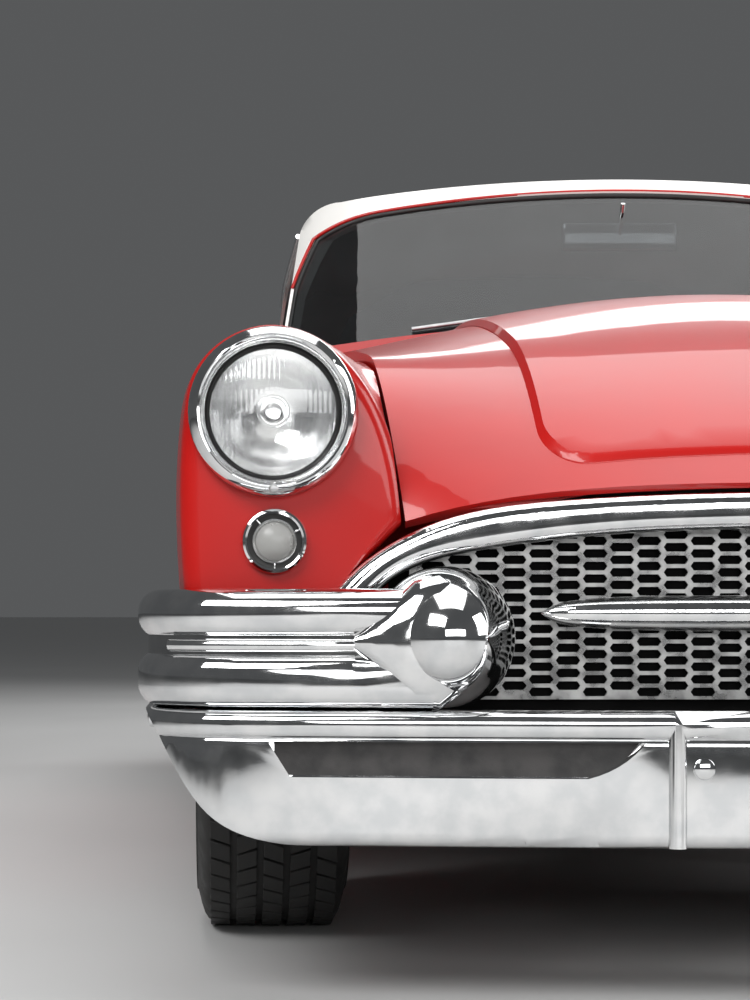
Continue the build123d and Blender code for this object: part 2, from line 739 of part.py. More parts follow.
def bar_strip(x_from, front_in, depth):
    # Plan face of a bar between two offsets from the bumper path
    def run(offset):
        start, bow, side, mid, corner = bumper_path(x_from)
        place = lambda x, s: (x, station_y(s + BUMPER_FACE), 0)
        h = unit((BUMPER_FRONT_X, 2 * BUMPER_BOW))
        a = (start, bow(start) + offset)
        b = (side[0] - h[1] * offset, side[1] + h[0] * offset)
        c = (corner[0] - offset, corner[1])
        m = arc_step(b, c, h)[0]
        half = ((a[0] + b[0]) / 2, bow((a[0] + b[0]) / 2) + offset)
        d = (corner[0] - offset, BUMPER_END)
        return [
            ThreePointArc(place(*a), place(*half), place(*b)),
            ThreePointArc(place(*b), place(*m), place(*c)),
            Line(place(*c), place(*d)),
        ], place(*a), place(*d)
    outer, a0, d0 = run(front_in)
    inner, a1, d1 = run(front_in + depth)
    return make_face(outer + inner + [Line(a0, a1), Line(d0, d1)])


def bar_solid(x_from, low, high, front_in, depth, soften):
    solid = Pos(0, 0, low) * extrude(bar_strip(x_from, front_in, depth), amount=high - low, dir=(0, 0, 1))
    solid = biggest(solid)
    outer_edges = []
    for edge in solid.edges():
        flat = abs(edge.bounding_box().size.Z) < 0.01
        if flat and edge.length > depth * 1.5 and is_outer(edge, front_in):
            outer_edges.append(edge)
    return fillet(outer_edges, soften)


def is_outer(edge, front_in):
    p = edge.position_at(0.5)
    station = p.Y + CAR_LENGTH / 2 - BUMPER_FACE
    if p.X > BUMPER_HALF - front_in - 4:
        return True
    x = min(p.X, BUMPER_FRONT_X)
    flat = BUMPER_BOW * (x / BUMPER_FRONT_X) ** 2 + front_in
    if p.X <= BUMPER_FRONT_X:
        return abs(station - flat) < 3
    start, bow, side, mid, corner = bumper_path(0)
    return hypot(p.X - mid[0], station - mid[1]) < front_in + 12


def make_bumper_bars(bullet):
    start = BULLET_X + BARS_INSIDE
    low, high, front_in, depth = spear_bar
    bars = Pos(0, 0, low) * extrude(bar_strip(start, front_in, depth), amount=high - low, dir=(0, 0, 1))
    for row in rows_of(bar_columns, upright_bars):
        bars += bar_solid(start, **row)
    return biggest(bars - bullet)


def spline_prism(curve, corners, s0, s1):
    # A prism along the car whose front view is a smooth curve closed by straight runs
    y = station_y(s0)
    place = lambda p: (p[0], y, p[1])
    edges = [Spline(*[place(p) for p in curve])]
    rim = [curve[-1], *corners, curve[0]]
    edges += [Line(place(p), place(q)) for p, q in zip(rim, rim[1:])]
    return extrude(make_face(edges), amount=s1 - s0, dir=(0, 1, 0))


def make_front_bumper():
    main, roll = rows_of(bar_columns, face_bars)
    half = bar_solid(0, **main) + bar_solid(0, **roll)
    half -= spline_prism(sweep_curve, sweep_corners, -BUMPER_END, 2 * BUMPER_END)
    pocket = spline_prism(pocket_curve, pocket_corners, -BUMPER_END, 2 * BUMPER_END)
    half -= pocket & bar_solid(BUMPER_RIDGE_X - 78, *POCKET_BAR)
    ridge = [(BUMPER_RIDGE_X, 33, z) for z in (BUMPER_BOTTOM + 2, 372)]
    half += rod(*ridge, BUMPER_RIDGE_RADIUS)
    half -= front_disc(PLATE_HOLE_X, PLATE_HOLE_Z, PLATE_HOLE_RADIUS, -20, 120)
    half = biggest(half) + block(RAIL_X - 25, RAIL_X + 25, 60, 189.7, 350, 386)
    return biggest(half + mirrored(half))


def make_bullet():
    x, z = BULLET_X, BULLET_Z
    y = station_y(BULLET_REAR)
    place = lambda r, f: (x + r, y - f, z)
    rim = place(BULLET_BASE, BULLET_RIM)
    neck = place(BULLET_DOME, BULLET_NECK)
    edges = [
        Line(place(0, 0), place(BULLET_BASE, 0)),
        Line(place(BULLET_BASE, 0), rim),
        ThreePointArc(rim, place(*FLARE_MID), neck),
        Line(neck, place(0, BULLET_NECK)),
        Line(place(0, BULLET_NECK), place(0, 0)),
    ]
    bullet = revolve(make_face(edges), Axis((x, y, z), (0, 1, 0)), 360)
    bullet += Pos(*place(0, BULLET_NECK)) * Rotation(90, 0, 0) * Sphere(BULLET_DOME, arc_size1=0, align=STAND)
    outline = [(x + a, z - FAIRING_DROP + b) for a, b in fairing_outline]
    return biggest(bullet + front_prism(outline, FAIRING_FRONT, FAIRING_REAR))


# Grille
def make_grille_mesh():
    plate = block(-MESH_HALF, MESH_HALF, MESH_FRONT, MESH_FRONT + MESH_WALL, MESH_LOW, MESH_HIGH)
    side, tall = HEX_LENGTH / 2, HEX_HEIGHT / 2
    flat = side - HEX_NIB
    hexagon = ((-side, 0), (-flat, tall), (flat, tall), (side, 0), (flat, -tall), (-flat, -tall))
    holes = []
    for column in range(-HEX_COLUMNS, HEX_COLUMNS + 1):
        for row in range(HEX_ROWS):
            x = column * HEX_PITCH_X
            z = HEX_START + row * HEX_PITCH_Z + (HEX_PITCH_Z / 2 if column % 2 else 0)
            if z + tall > MESH_HIGH - MESH_RIM or abs(x) + side > MESH_HALF - MESH_RIM:
                continue
            ring = [(x + a, z + b) for a, b in hexagon]
            holes.append(front_prism(ring, MESH_FRONT - MESH_WALL, MESH_FRONT + 2 * MESH_WALL))
    return plate.cut(*holes)


def surround_face(outer, inner, station):
    y = station_y(station)
    place = lambda p: (p[0], y, p[1])
    edges = [Spline(*[place(p) for p in outer]), Line(place(outer[-1]), place(inner[0]))]
    edges += [Spline(*[place(p) for p in inner]), Line(place(inner[-1]), place(outer[0]))]
    return make_face(edges)


def make_grille_surround():
    face = surround_face(surround_outer, surround_inner, SURROUND_FRONT)
    arch = extrude(face, amount=SURROUND_DEPTH, dir=(0, 1, 0))
    front = station_y(SURROUND_FRONT)
    rims = [e for e in arch.edges() if e.length > BUMPER_HALF and abs(e.center().Y - front) < 1]
    return fillet(rims, SURROUND_ROUND)


def surround_room():
    # Space that the hood's lip keeps above the surround
    raised = [(x, z + SHUT_GAP) for x, z in surround_outer]
    low = [(x, z - SHUT_GAP) for x, z in surround_inner]
    face = surround_face(raised, low, SURROUND_FRONT - SHUT_GAP)
    return extrude(face, amount=SURROUND_DEPTH + 2 * SHUT_GAP, dir=(0, 1, 0))


def make_grille_bar():
    y = station_y(GRILLE_BAR_STATION)
    profile = [(x, y, GRILLE_BAR_Z + r) for x, r in grille_bar_half]
    edges = [Spline(*profile), Line(profile[-1], profile[0])]
    return revolve(make_face(edges), Axis((0, y, GRILLE_BAR_Z), (1, 0, 0)), 360)


# Lamps
def make_bezel():
    x, z = HEADLAMP_X, HEADLAMP_Z
    y = station_y(FENDER_FRONT)
    back = SEAT_GAP - BEZEL_SINK
    bore = HEADLAMP_LENS_RADIUS + 3
    rim = HEADLAMP_BEZEL_RADIUS
    place = lambda r, f: (x + r, y - f, z)
    edges = [
        Line(place(bore, back), place(bore, 14)),
        ThreePointArc(place(bore, 14), place(bore + 3, 29), place(bore + 10, 37)),
        ThreePointArc(place(bore + 10, 37), place(rim - 4, 30), place(rim, 12)),
        Line(place(rim, 12), place(rim, back)),
        Line(place(rim, back), place(bore, back)),
    ]
    return revolve(make_face(edges), Axis((x, y, z), (0, 1, 0)), 360)


def make_lens():
    x, z = HEADLAMP_X, HEADLAMP_Z
    front = FENDER_FRONT - LENS_DOME
    disc = front_disc(x, z, HEADLAMP_LENS_RADIUS, front, FENDER_FRONT + LENS_DEPTH)
    ball = Pos(x, station_y(front + LENS_CURVE), z) * Sphere(LENS_CURVE)
    return biggest(disc & ball)


def make_parking():
    points = [(0, -30), (PARKING_RADIUS - 7, -30), (PARKING_RADIUS - 7, 0.3), (PARKING_RADIUS, 0.3),
              (PARKING_RADIUS, 12), (PARKING_LENS_RADIUS, 12), (PARKING_LENS_RADIUS * 0.7, 20), (0, 24)]
    return turned(points, PARKING_X, PARKING_Z, FENDER_FRONT)


def make_tail_lamp():
    neck = TAIL_RADIUS - 9
    points = [(0, -30), (neck, -30), (neck, SEAT_GAP), (TAIL_RADIUS, SEAT_GAP), (TAIL_RADIUS, 14),
              (TAIL_RADIUS * 0.6, 30), (0, 36)]
    return turned(points, TAIL_X, TAIL_Z, QUARTER_REAR, False)


# Cowl with firewall and hinge posts
def cowl_top(half, s0, s1, z0):
    drop = COWL_DROP * (half / COWL_HALF) ** 2
    y = station_y(s0)
    edges = [
        ThreePointArc((-half, y, COWL_Z - drop), (0, y, COWL_Z), (half, y, COWL_Z - drop)),
        Line((half, y, COWL_Z - drop), (half, y, z0)),
        Line((half, y, z0), (-half, y, z0)),
        Line((-half, y, z0), (-half, y, COWL_Z - drop)),
    ]
    return extrude(make_face(edges), amount=s1 - s0, dir=(0, 1, 0))


def make_cowl():
    front = HOOD_REAR + SHUT_GAP
    cowl = cowl_top(COWL_REAR_HALF, front, COWL_REAR, 860)
    corner = block(COWL_HALF, 1000, front - 1, DOOR_FRONT, 800, 1100)
    cowl = cowl - corner - mirrored(corner)
    cowl += block(-COWL_HALF, COWL_HALF, front, front + FIREWALL, FLOOR_Z, 900)
    for side in (-1, 1):
        wing = block(COWL_HALF - 10, 850, front, front + FIREWALL, FLOOR_Z, 860)
        post = block(745, 850, 1600, 1688, FLOOR_Z + FLOOR_WALL + SEAT_GAP, 860)
        hinge = wing + post
        for z in HINGE_HEIGHTS:
            hinge += rod((HINGE_X, HINGE_STATION, z - 48), (HINGE_X, HINGE_STATION, z + 48), HINGE_RADIUS)
            for low in (z - 46, z + 26):
                ends = [(HINGE_X, HINGE_STATION, z) for z in (low, low + 20)]
                lug = rod(*ends, HINGE_RADIUS + 8)
                hinge += lug + block(840, HINGE_X, 1670, HINGE_STATION, low, low + 20)
        cowl += hinge if side > 0 else mirrored(hinge)
    cowl -= block(-TUNNEL_HALF, TUNNEL_HALF, front - 1, front + FIREWALL + 1, 200, TUNNEL_Z)
    return biggest(cowl)


def make_dashboard():
    outline = [(1800, 640), (1800, 859.7), (COWL_REAR + 0.3, 859.7), (COWL_REAR + 0.3, 925), (2070, 915),
               (2105, 830), (2060, 640)]
    return side_prism(outline, -728, 728)


# Floor with tunnel, rear step and trunk well
def make_floor():
    half, rear_half = FLOOR_HALF, WHEELHOUSE_X - SEAT_GAP
    top = FLOOR_Z + FLOOR_WALL
    front = HOOD_REAR + SHUT_GAP + FIREWALL + SEAT_GAP
    floor = block(-half, half, front, 3414, FLOOR_Z, top)
    floor += block(-TUNNEL_HALF, TUNNEL_HALF, front, 3414, FLOOR_Z, TUNNEL_Z)
    floor += block(-rear_half, rear_half, 3400, 3414, FLOOR_Z, REAR_FLOOR_Z + FLOOR_WALL)
    floor -= block(14 - TUNNEL_HALF, TUNNEL_HALF - 14, 1600, 3500, 200, TUNNEL_Z - 14)
    floor += block(-rear_half, rear_half, 3400, 4470, REAR_FLOOR_Z, REAR_FLOOR_Z + FLOOR_WALL)
    floor += block(-rear_half, rear_half, 4456, 4470, TRUNK_Z, REAR_FLOOR_Z)
    floor += block(-rear_half, rear_half, 4456, TAIL_PANEL_FRONT - SEAT_GAP, TRUNK_Z, TRUNK_Z + FLOOR_WALL)
    return biggest(floor)


def make_inner_fender():
    apron = block(430, 436, 500, 1646, 440, 830) + block(430, 640, 500, 1646, 822, 830)
    apron -= block(400, 500, 740, 1020, 400, 530)
    return biggest(apron)


def make_wheelhouse():
    x1 = 868
    wall = Pos(WHEELHOUSE_X, station_y(REAR_AXLE), TYRE_RADIUS) * Rot(0, 90, 0) * Cylinder(
        ARCH_RADIUS + 8, x1 - WHEELHOUSE_X, align=STAND)
    inside = Pos(WHEELHOUSE_X + 8, station_y(REAR_AXLE), TYRE_RADIUS) * Rot(0, 90, 0) * Cylinder(
        ARCH_RADIUS, x1, align=STAND)
    wall -= inside
    return biggest(wall & block(500, 1000, 3000, 5000, 420, 1000))


# Deck panel between the rear window and the trunk lid
def make_deck():
    faces = []
    for s, half, z in ((3560, 700, 950), (3850, 668, 955), (4145, 590, 958)):
        y = station_y(s)
        edges = [
            ThreePointArc((-half, y, z), (0, y, z + 24), (half, y, z)),
            Line((half, y, z), (half, y, z - 30)),
            ThreePointArc((half, y, z - 30), (0, y, z - 6), (-half, y, z - 30)),
            Line((-half, y, z - 30), (-half, y, z)),
        ]
        faces.append(make_face(edges))
    return loft(faces)


def make_tail_panel():
    panel = block(-599.7, 599.7, TAIL_PANEL_FRONT, 5100, 372, 634)
    for x in (-RAIL_X, RAIL_X):
        panel -= block(x - 28, x + 28, TAIL_PANEL_FRONT - 1, 5101, 300, 434)
    for x in (-PLATE_HOLE_X, PLATE_HOLE_X):
        panel -= front_disc(x, REAR_PLATE_Z, PLATE_HOLE_RADIUS, TAIL_PANEL_FRONT - 5, 5110)
    return biggest(panel)


def make_rear_bumper():
    half = bar_solid(0, 372, 520, 4, 36, 18)
    bumper = half + mirrored(half)
    irons = [block(x - 25, x + 25, 60, 189.7 + REAR_SHIFT, 380, 430) for x in (-RAIL_X, RAIL_X)]
    for iron in irons:
        bumper += iron
    return Pos(0, REAR_SHIFT, 0) * mirror(biggest(bumper), about=Plane.XZ)


# Running gear
def make_rear_axle():
    tube = 40
    bowl = 128
    drum = TRACK / 2 - DRUM_DEPTH - 6
    plate = 7
    reach = TRACK / 2 + SPINDLE_REACH
    bend = sqrt(bowl ** 2 - tube ** 2)
    half = [(bend, tube), (drum - plate, tube), (drum - plate, DRUM_RADIUS), (drum, DRUM_RADIUS),
            (drum, SPINDLE_RADIUS), (reach, SPINDLE_RADIUS), (reach, 0)]
    y = station_y(REAR_AXLE)
    place = lambda x, r: (x, y, TYRE_RADIUS + r)
    edges = [ThreePointArc(place(-bend, tube), place(0, bowl), place(bend, tube))]
    edges += [Line(place(*p), place(*q)) for p, q in zip(half, half[1:])]
    edges += [Line(place(-p[0], p[1]), place(-q[0], q[1])) for p, q in zip(half, half[1:])]
    edges.append(Line(place(-reach, 0), place(reach, 0)))
    return revolve(make_face(edges), Axis((0, y, TYRE_RADIUS), (1, 0, 0)), 360)


def make_spring():
    z = TYRE_RADIUS - 40 - SEAT_GAP
    near, far = REAR_AXLE - 60, REAR_AXLE + 60
    outline = [(3430, z + 40), (3650, z + 10), (near, z), (far, z), (4300, z + 10), (4640, z + 40)]
    outline += [(4640, z + 24), (4300, z - 12), (far, z - 34), (near, z - 34)]
    outline += [(3650, z - 12), (3430, z + 24)]
    leaf = side_prism(outline, 470, 530)
    leaf += block(RAIL_X + 30.3, 530, 3430, 3460, z - 30, z + 40)
    leaf += block(RAIL_X + 30.3, 530, 4610, 4640, z + 24, z + 70)
    return biggest(leaf)


def make_engine():
    engine = block(-250, 250, 700, 1400, 330, 880)
    engine += rod((0, 1390, 400), (0, 1980, 395), 92)
    for side in (-1, 1):
        inner, outer = sorted((side * 240, side * 345))
        engine += block(inner, outer, 1060, 1120, RAIL_BOTTOM + RAIL_HEIGHT + SEAT_GAP, 380)
    return biggest(engine)


def make_radiator():
    return block(-429.7, 429.7, 430, 480, 440.3, 800)


def make_exhaust():
    z = RAIL_BOTTOM + 10 - 24 - SEAT_GAP
    pipe = rod((200, 1300, z), (200, 5180, z), 24)
    pipe += rod((200, 1300, z), (200, 1250, 345), 24) + Pos(200, station_y(1300), z) * Sphere(24)
    pipe += block(130, 270, 2300, 2900, z - 34, z + 24)
    return biggest(pipe)


def make_front_seat():
    outline = [(2270, 540), (2300, 600), (2760, 575), (2830, 1000), (2920, 1000), (2900, 560),
               (2860, FLOOR_Z + 14.3),
               (2330, FLOOR_Z + 14.3)]
    return seat_over_tunnel(side_prism(outline, -680, 680))


def seat_over_tunnel(seat):
    return biggest(seat - block(-TUNNEL_HALF - 0.3, TUNNEL_HALF + 0.3, 2000, 3500, 200, TUNNEL_Z + 0.3))


def make_rear_seat():
    outline = [(3150, 560), (3180, 625), (3560, 600), (3690, 915), (3750, 915), (3740, REAR_FLOOR_Z + 14.3),
               (3399.7, REAR_FLOOR_Z + 14.3), (3399.7, FLOOR_Z + 14.3), (3190, FLOOR_Z + 14.3)]
    return seat_over_tunnel(side_prism(outline, -570, 570))


def steering_plane():
    direction = Vector(0, COLUMN_RUN, COLUMN_RISE)
    return Plane(origin=(COLUMN_X, station_y(COLUMN_TOP), COLUMN_TOP_Z), x_dir=(1, 0, 0), z_dir=direction)


def make_column(plane):
    length = 640
    column = plane * Pos(0, 0, -30 - length) * Cylinder(24, length, align=STAND)
    pin = plane * Pos(0, 0, -60) * Cylinder(9, 70, align=STAND)
    column += pin
    return biggest(column & block(0, 800, HOOD_REAR + SHUT_GAP + FIREWALL + 0.3, 3000, 300, 1200))


def make_steering_wheel(plane):
    ring = plane * Torus(STEERING_RADIUS, STEERING_GRIP)
    hub = plane * Pos(0, 0, -24) * Cylinder(36, 44, align=STAND)
    spokes = plane * Box(2 * STEERING_RADIUS, 22, 10)
    wheel = ring + hub + spokes
    wheel -= plane * Pos(0, 0, -30) * Cylinder(9 + PIN_CLEARANCE, 42, align=STAND)
    return biggest(wheel)


def build():
    nodes = {}
    outer = cabin_volume(0)
    inner = cabin_volume(ROOF_WALL)
    pane_out = cabin_volume(GLASS_INSET)
    pane_in = cabin_volume(GLASS_INSET + GLASS_WALL)
    pane = pane_out - pane_in
    windshield = pane & side_prism(windshield_outline, -900, 900)
    nodes["rear_window"] = biggest(pane & side_prism(rear_outline, -620, 620))
    door_glass = pane & block(600, 900, 1990, DOOR_REAR - 20, 950, 1316)
    door_glass &= side_prism(glass_outline, 620, 900)
    nodes["door_glass_left"] = biggest(door_glass)
    nodes["door_glass_right"] = mirrored(nodes["door_glass_left"])
    quarter_glass = pane & block(600, 900, DOOR_REAR - 14, 3500, 992, 1330)
    quarter_glass &= side_prism(side_outline, 620, 900)
    nodes["quarter_glass"] = both_sides(biggest(quarter_glass))

    fender = make_fender()
    nodes["front_fender_left"] = fender
    nodes["front_fender_right"] = mirrored(fender)
    door = make_door(nodes["door_glass_left"])
    nodes["door_left"] = door
    nodes["door_right"] = mirrored(door)
    nodes["sills"] = both_sides(make_sill())
    quarter = make_quarter()
    nodes["rear_quarter_left"] = quarter
    nodes["rear_quarter_right"] = mirrored(quarter)
    nodes["cowl"] = make_cowl()
    nodes["rear_deck"] = biggest(make_deck() - quarter - nodes["rear_quarter_right"])
    below = [nodes["cowl"], nodes["rear_deck"], quarter, nodes["rear_quarter_right"], fender]
    below.append(nodes["front_fender_right"])
    nodes["roof"] = make_roof(outer, inner, below)
    nodes["windshield"] = biggest(windshield - nodes["cowl"])
    nodes["floor_pan"] = make_floor()
    nodes["inner_fenders"] = both_sides(make_inner_fender())
    nodes["wheelhouses"] = both_sides(make_wheelhouse())
    nodes["tail_panel"] = make_tail_panel()
    nodes["rear_bumper"] = make_rear_bumper()
    nodes["rear_axle"] = make_rear_axle()
    nodes["rear_springs"] = both_sides(make_spring())
    nodes["driveshaft"] = rod((0, 1981.2, 395), (0, REAR_AXLE - 128.4, 357), 38)
    nodes["engine_block"] = make_engine()
    nodes["radiator"] = make_radiator()
    nodes["exhaust"] = biggest(make_exhaust() - nodes["engine_block"])
    nodes["fuel_tank"] = block(-300, 300, 4560, 4950, 265, TRUNK_Z - SEAT_GAP)
    nodes["front_seat"] = make_front_seat()
    nodes["rear_seat"] = make_rear_seat()
    plane = steering_plane()
    nodes["steering_column"] = make_column(plane)
    bore = plane * Pos(0, 0, -700) * Cylinder(24 + SEAT_GAP, 800, align=STAND)
    nodes["dashboard"] = biggest(make_dashboard() - bore)
    nodes["steering_wheel"] = make_steering_wheel(plane)
    nodes["hood"] = make_hood()
    nodes["trunk_lid"] = make_lid()
    nodes["headlamp_bezels"] = both_sides(make_bezel())
    nodes["headlamp_lenses"] = both_sides(make_lens())
    nodes["parking_lamps"] = both_sides(make_parking())
    nodes["tail_lamps"] = both_sides(make_tail_lamp())
    nodes["grille_mesh"] = make_grille_mesh()
    nodes["grille_surround"] = make_grille_surround()
    nodes["grille_bar"] = make_grille_bar()
    nodes["front_bumper"] = make_front_bumper()
    bullet = make_bullet()
    nodes["bumper_bullets"] = both_sides(bullet)
    nodes["bumper_bars"] = both_sides(make_bumper_bars(bullet))
    for name, outward, axle in (("front_left", 1, FRONT_AXLE), ("front_right", -1, FRONT_AXLE),
                                ("rear_left", 1, REAR_AXLE), ("rear_right", -1, REAR_AXLE)):
        x = outward * TRACK / 2
        nodes["wheel_" + name] = make_wheel(x, axle, outward)
        nodes["tyre_" + name] = make_tyre(x, axle, outward)
    knuckle = make_knuckle()
    nodes["knuckle_left"] = knuckle
    nodes["knuckle_right"] = mirrored(knuckle)
    arms = make_front_suspension()
    nodes["front_suspension"] = as_compound(arms + [mirrored(a) for a in arms])
    nodes["frame_rails"] = both_sides(make_rail())
    nodes["crossmembers"] = as_compound(make_crossmembers())
    return nodes


if __name__ == "__main__":
    os.makedirs("parts", exist_ok=True)
    for name, shape in build().items():
        export_step(shape, "parts/" + name + ".step")
        print(name, len(shape.solids()), round(shape.volume / 1e6, 2))
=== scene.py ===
import json
import math
import bmesh
import bpy
from mathutils import Matrix, Vector
from mathutils.bvhtree import BVHTree


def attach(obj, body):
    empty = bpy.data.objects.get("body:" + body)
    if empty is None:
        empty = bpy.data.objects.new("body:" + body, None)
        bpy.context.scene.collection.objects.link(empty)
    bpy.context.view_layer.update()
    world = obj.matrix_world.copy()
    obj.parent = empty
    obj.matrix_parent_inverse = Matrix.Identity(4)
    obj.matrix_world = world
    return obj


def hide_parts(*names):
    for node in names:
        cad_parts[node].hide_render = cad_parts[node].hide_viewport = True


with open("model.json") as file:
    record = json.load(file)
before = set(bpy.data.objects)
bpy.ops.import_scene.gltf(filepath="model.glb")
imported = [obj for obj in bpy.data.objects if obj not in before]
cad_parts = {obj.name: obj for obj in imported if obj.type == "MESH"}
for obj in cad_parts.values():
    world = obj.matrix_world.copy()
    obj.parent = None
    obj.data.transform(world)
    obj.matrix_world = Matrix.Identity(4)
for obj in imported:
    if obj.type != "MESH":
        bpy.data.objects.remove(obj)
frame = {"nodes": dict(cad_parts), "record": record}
nodes = frame["nodes"]
bodyOf = {n: b for b, members in frame["record"]["behaviour"]["bodies"].items() for n in members}
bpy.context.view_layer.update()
print("stage: frame loaded")


# Shared effects, groups give only colours, masks, values and normals
def newGroup(name, inputs, outputs):
    group = bpy.data.node_groups.new(name, "ShaderNodeTree")
    for label, kind, value in inputs:
        socket = group.interface.new_socket(label, in_out="INPUT", socket_type=kind)
        socket.default_value = value
    for label, kind in outputs:
        group.interface.new_socket(label, in_out="OUTPUT", socket_type=kind)
    entry = group.nodes.new("NodeGroupInput")
    leave = group.nodes.new("NodeGroupOutput")
    return group, entry, leave


def makeMottle():
    group, entry, leave = newGroup(
        "mottle",
        [("Scale", "NodeSocketFloat", 12.0), ("Detail", "NodeSocketFloat", 6.0),
         ("Low", "NodeSocketFloat", 0.3), ("High", "NodeSocketFloat", 0.7)],
        [("Mask", "NodeSocketFloat")])
    coord = group.nodes.new("ShaderNodeTexCoord")
    noise = group.nodes.new("ShaderNodeTexNoise")
    stretch = group.nodes.new("ShaderNodeMapRange")
    stretch.interpolation_type = "SMOOTHSTEP"
    group.links.new(coord.outputs["Object"], noise.inputs["Vector"])
    group.links.new(entry.outputs["Scale"], noise.inputs["Scale"])
    group.links.new(entry.outputs["Detail"], noise.inputs["Detail"])
    group.links.new(noise.outputs["Fac"], stretch.inputs["Value"])
    group.links.new(entry.outputs["Low"], stretch.inputs["From Min"])
    group.links.new(entry.outputs["High"], stretch.inputs["From Max"])
    group.links.new(stretch.outputs["Result"], leave.inputs["Mask"])
    return group


def makeGrain():
    group, entry, leave = newGroup(
        "grain",
        [("Scale", "NodeSocketFloat", 900.0), ("Strength", "NodeSocketFloat", 0.05),
         ("Distance", "NodeSocketFloat", 0.001)],
        [("Normal", "NodeSocketVector"), ("Height", "NodeSocketFloat")])
    coord = group.nodes.new("ShaderNodeTexCoord")
    noise = group.nodes.new("ShaderNodeTexNoise")
    noise.inputs["Detail"].default_value = 4.0
    bump = group.nodes.new("ShaderNodeBump")
    group.links.new(coord.outputs["Object"], noise.inputs["Vector"])
    group.links.new(entry.outputs["Scale"], noise.inputs["Scale"])
    group.links.new(noise.outputs["Fac"], bump.inputs["Height"])
    group.links.new(entry.outputs["Strength"], bump.inputs["Strength"])
    group.links.new(entry.outputs["Distance"], bump.inputs["Distance"])
    group.links.new(bump.outputs["Normal"], leave.inputs["Normal"])
    group.links.new(noise.outputs["Fac"], leave.inputs["Height"])
    return group


mottle = makeMottle()
grain = makeGrain()


def addGroup(tree, group, **values):
    node = tree.nodes.new("ShaderNodeGroup")
    node.node_tree = group
    for label, value in values.items():
        node.inputs[label.capitalize()].default_value = value
    return node.outputs


def ramp(tree, source, stops):
    node = tree.nodes.new("ShaderNodeValToRGB")
    points = node.color_ramp.elements
    while len(points) < len(stops):
        points.new(0.5)
    for point, (place, colour) in zip(points, stops):
        point.position = place
        point.color = (*colour, 1.0)
    tree.links.new(source, node.inputs["Fac"])
    return node.outputs["Color"]


def spread(tree, source, low, high):
    node = tree.nodes.new("ShaderNodeMapRange")
    node.inputs["To Min"].default_value = low
    node.inputs["To Max"].default_value = high
    tree.links.new(source, node.inputs["Value"])
    return node.outputs["Result"]


def finish(name, look):
    mat = bpy.data.materials.new(name)
    mat.use_nodes = True
    tree = mat.node_tree
    shader = tree.nodes["Principled BSDF"]
    mask = addGroup(tree, mottle, scale=look["mottleScale"], detail=look.get("mottleDetail", 6.0))["Mask"]
    tree.links.new(ramp(tree, mask, [(0.0, look["dark"]), (1.0, look["light"])]), shader.inputs["Base Color"])
    tree.links.new(spread(tree, mask, *look["rough"]), shader.inputs["Roughness"])
    bump = addGroup(tree, grain, scale=look["grainScale"], strength=look["grainStrength"],
                    distance=look.get("grainDistance", 0.001))
    tree.links.new(bump["Normal"], shader.inputs["Normal"])
    for label, value in look.get("sockets", {}).items():
        shader.inputs[label].default_value = value
    return mat


